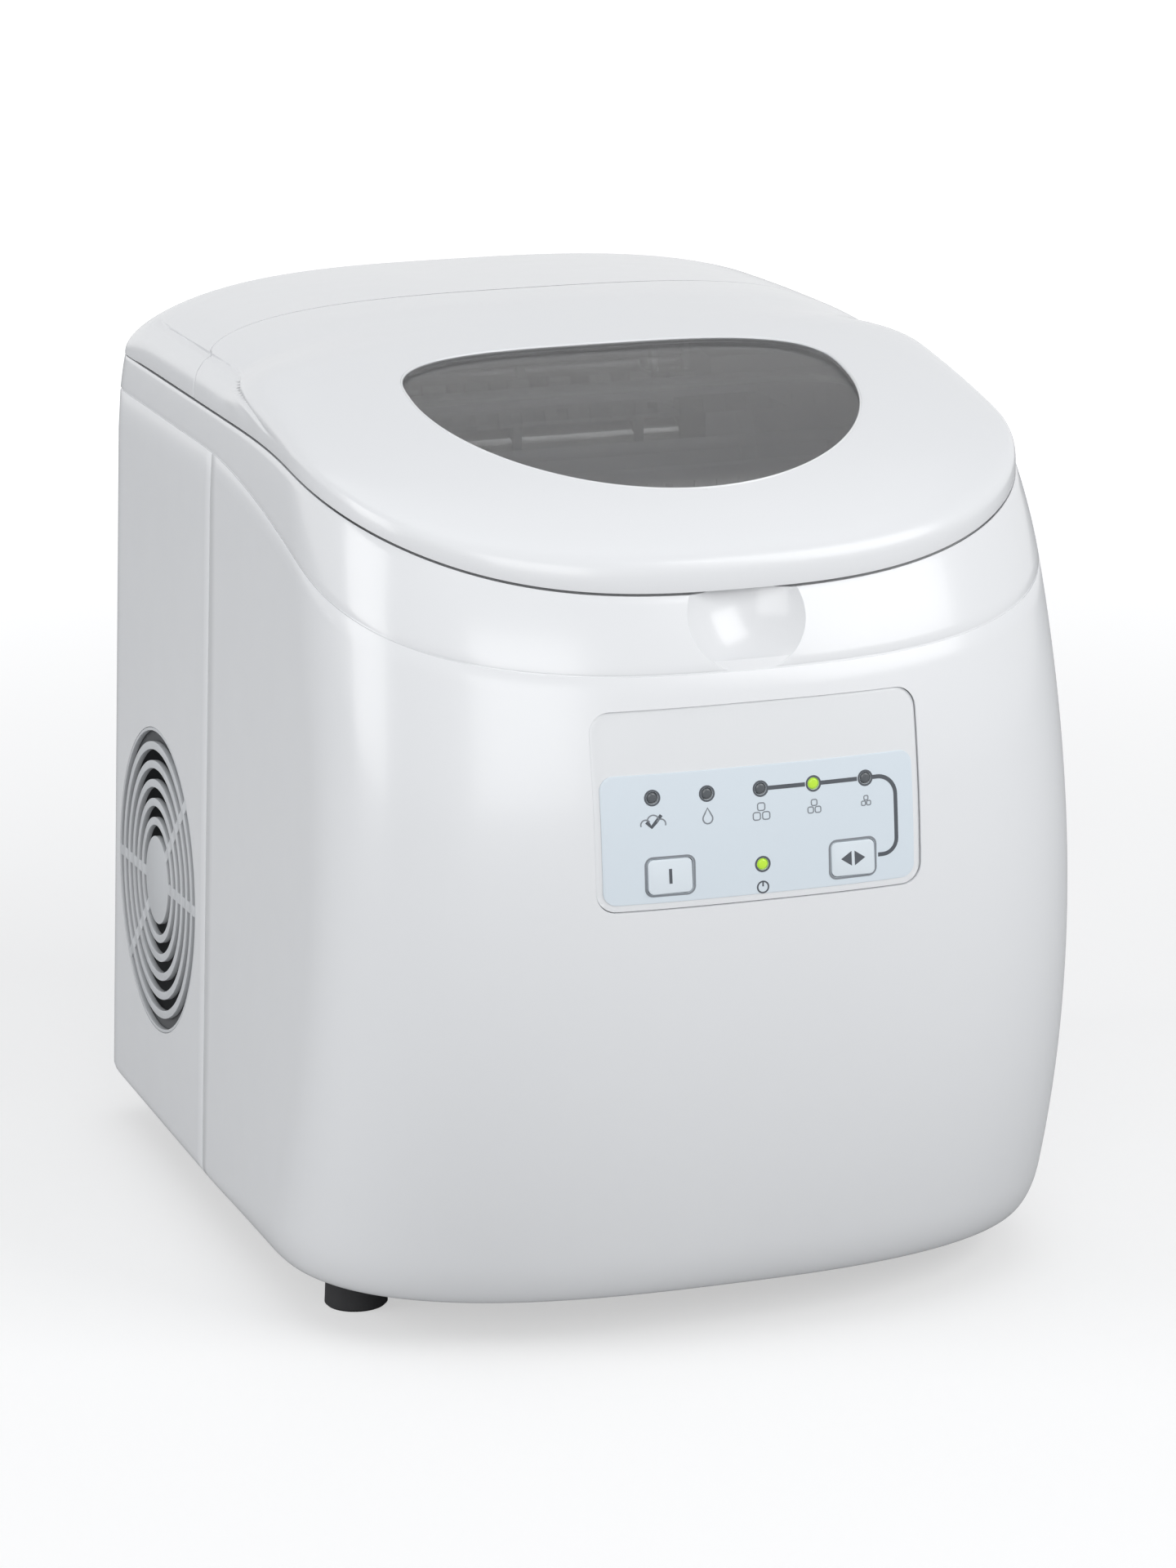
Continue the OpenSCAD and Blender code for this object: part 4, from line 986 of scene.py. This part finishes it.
grille = disc("fan_grille", GRILLE_R, -WALL, -0.1)
slots = []
for k in range(SLOTS):
    slots.append(disc("slot_ring", HUB + SLOT_PITCH * (k + 0.97), -10, 10))
    cut(slots[-1], disc("slot_core", HUB + SLOT_PITCH * (k + 0.38), -11, 11))
cut(grille, join(*slots))
for turn in (2, 44):
    deselect()
    bpy.ops.mesh.primitive_cube_add(size=1, scale=(5.2 * MM, (2 * GRILLE_R - 3) * MM, (WALL - 0.3) * MM),
                                    location=(0, 0, -(WALL + 0.3) / 2 * MM),
                                    rotation=(0, 0, math.radians(turn)))
    cut(grille, settle(named("spoke")), 'UNION')
soften_edges(grille, 0.35)
grille.matrix_world = fan_frame
settle(grille)
dress(smooth(grille), "chassis", "grille", GRILLE, "side_grille")

# shroud: a flange behind the grille, a duct, and a back with four windows round the motor's seat
SHROUD_DEPTH = 40
FLANGE = 2
ARM = 6                  # half the width of the arms that carry the seat
shroud_front = -WALL - 0.3
shroud_back = shroud_front - SHROUD_DEPTH
shroud = disc("fan_shroud_moulding", GRILLE_R + 6, shroud_front - FLANGE, shroud_front)
cut(shroud, slab("rear_wall_side", (-100, REAR - REAR_REACH - fan_centre.y, -60), (100, 120, 0)))
cut(shroud, disc("duct", GRILLE_R - 6, shroud_back, shroud_front), 'UNION')
cut(shroud, disc("bore", GRILLE_R - 8.5, shroud_back + 3, 5))
for x in (-ARM - 100, ARM):
    for y in (-ARM - 100, ARM):
        window = disc("back_window", GRILLE_R - 10, -60, -20)
        cut(window, disc("motor_seat", 26, -61, -19))
        cut(window, slab("quarter", (x, y, -62), (x + 100, y + 100, -18)), 'INTERSECT')
        cut(shroud, window)
cut(shroud, disc("shaft_hole", 6, -60, -20, 32))
soften_edges(shroud, 0.5)
shroud.matrix_world = fan_frame
settle(shroud)
dress(smooth(shroud), "chassis", "dark_plastic", DARK, "fan_shroud")


# ------------------------------------------------------------------ camera, light and floor
CAMERA_PLACE = (-0.78148, -2.34612, 0.84013)
LENS = 165.65
YAW, PITCH, ROLL = 0.32123, 0.24985, -0.01155
ahead = Vector((math.sin(YAW) * math.cos(PITCH), math.cos(YAW) * math.cos(PITCH), -math.sin(PITCH)))
right = Vector((math.cos(YAW), -math.sin(YAW), 0.0))
up = right.cross(ahead)
right, up = (right * math.cos(ROLL) + up * math.sin(ROLL),
             up * math.cos(ROLL) - right * math.sin(ROLL))
deselect()
bpy.ops.object.camera_add()
camera = named("camera")
camera.matrix_world = Matrix((right, up, -ahead)).transposed().to_4x4()
camera.location = CAMERA_PLACE
camera.data.lens = LENS
camera.data.sensor_width = 36.0
camera.data.sensor_fit = 'HORIZONTAL'
camera.data.clip_end = 50.0
bpy.context.scene.camera = camera


def soft_lamp(name, place, aim, size, height, strength):
    deselect()
    bpy.ops.object.light_add(type='AREA', location=place)
    lamp = named(name)
    lamp.data.shape = 'RECTANGLE'
    lamp.data.size, lamp.data.size_y = size, height
    lamp.data.energy = strength
    lamp.rotation_euler = (Vector(aim) - Vector(place)).to_track_quat('-Z', 'Y').to_euler()
    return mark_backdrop(lamp)


soft_lamp("key_light", (1.5, -1.9, 1.7), (0, 0, 0.22), 1.6, 1.6, 32)
soft_lamp("top_light", (0.0, 0.3, 2.3), (0, 0, 0.3), 2.2, 2.2, 8)
soft_lamp("front_fill", (-0.9, -2.6, 0.9), (0, 0, 0.2), 1.6, 1.4, 19)
soft_lamp("left_fill", (-2.4, 0.1, 0.9), (0, 0, 0.25), 1.2, 1.6, 20)

deselect()
bpy.ops.mesh.primitive_plane_add(size=12, location=(0, 0, 0))
floor = named("studio_floor")
paper = bpy.data.materials.new("studio_paper")
paper.use_nodes = True
tree = paper.node_tree
sheet = tree.nodes['Principled BSDF']
sheet.inputs['Base Color'].default_value = (0.5, 0.5, 0.5, 1)
sheet.inputs['Roughness'].default_value = 0.9
sheet.inputs['Emission Color'].default_value = (1, 1, 1, 1)
spot = tree.nodes.new('ShaderNodeTexCoord')
far = tree.nodes.new('ShaderNodeVectorMath')
far.operation = 'LENGTH'
glow = tree.nodes.new('ShaderNodeMapRange')
glow.interpolation_type = 'SMOOTHSTEP'
for socket, value in (('From Min', 0.4), ('From Max', 2.6), ('To Min', 0.50), ('To Max', 0.90)):
    glow.inputs[socket].default_value = value
ray = tree.nodes.new('ShaderNodeLightPath')
watched = tree.nodes.new('ShaderNodeMath')
watched.operation = 'MULTIPLY'
tree.links.new(spot.outputs['Object'], far.inputs[0])
tree.links.new(far.outputs['Value'], glow.inputs['Value'])
tree.links.new(glow.outputs['Result'], watched.inputs[0])
tree.links.new(ray.outputs['Is Camera Ray'], watched.inputs[1])
tree.links.new(watched.outputs[0], sheet.inputs['Emission Strength'])
floor.data.materials.append(paper)

world = bpy.data.worlds.new("studio")
bpy.context.scene.world = world
world.use_nodes = True
sky = world.node_tree
sky.nodes.clear()
ways = sky.nodes.new('ShaderNodeLightPath')
seen = sky.nodes.new('ShaderNodeBackground')
seen.inputs['Color'].default_value = (1, 1, 1, 1)
seen.inputs['Strength'].default_value = 1.0
shine = sky.nodes.new('ShaderNodeBackground')
shine.inputs['Color'].default_value = (0.92, 0.95, 1.0, 1)
shine.inputs['Strength'].default_value = 0.36
chosen = sky.nodes.new('ShaderNodeMixShader')
result = sky.nodes.new('ShaderNodeOutputWorld')
rays = ways.outputs['Is Camera Ray']
for kind in ('Is Transmission Ray', 'Is Glossy Ray'):
    either = sky.nodes.new('ShaderNodeMath')
    either.operation = 'MAXIMUM'
    sky.links.new(rays, either.inputs[0])
    sky.links.new(ways.outputs[kind], either.inputs[1])
    rays = either.outputs[0]
sky.links.new(rays, chosen.inputs[0])
sky.links.new(shine.outputs[0], chosen.inputs[1])
sky.links.new(seen.outputs[0], chosen.inputs[2])
sky.links.new(chosen.outputs[0], result.inputs['Surface'])
bpy.context.scene.view_settings.view_transform = 'Standard'
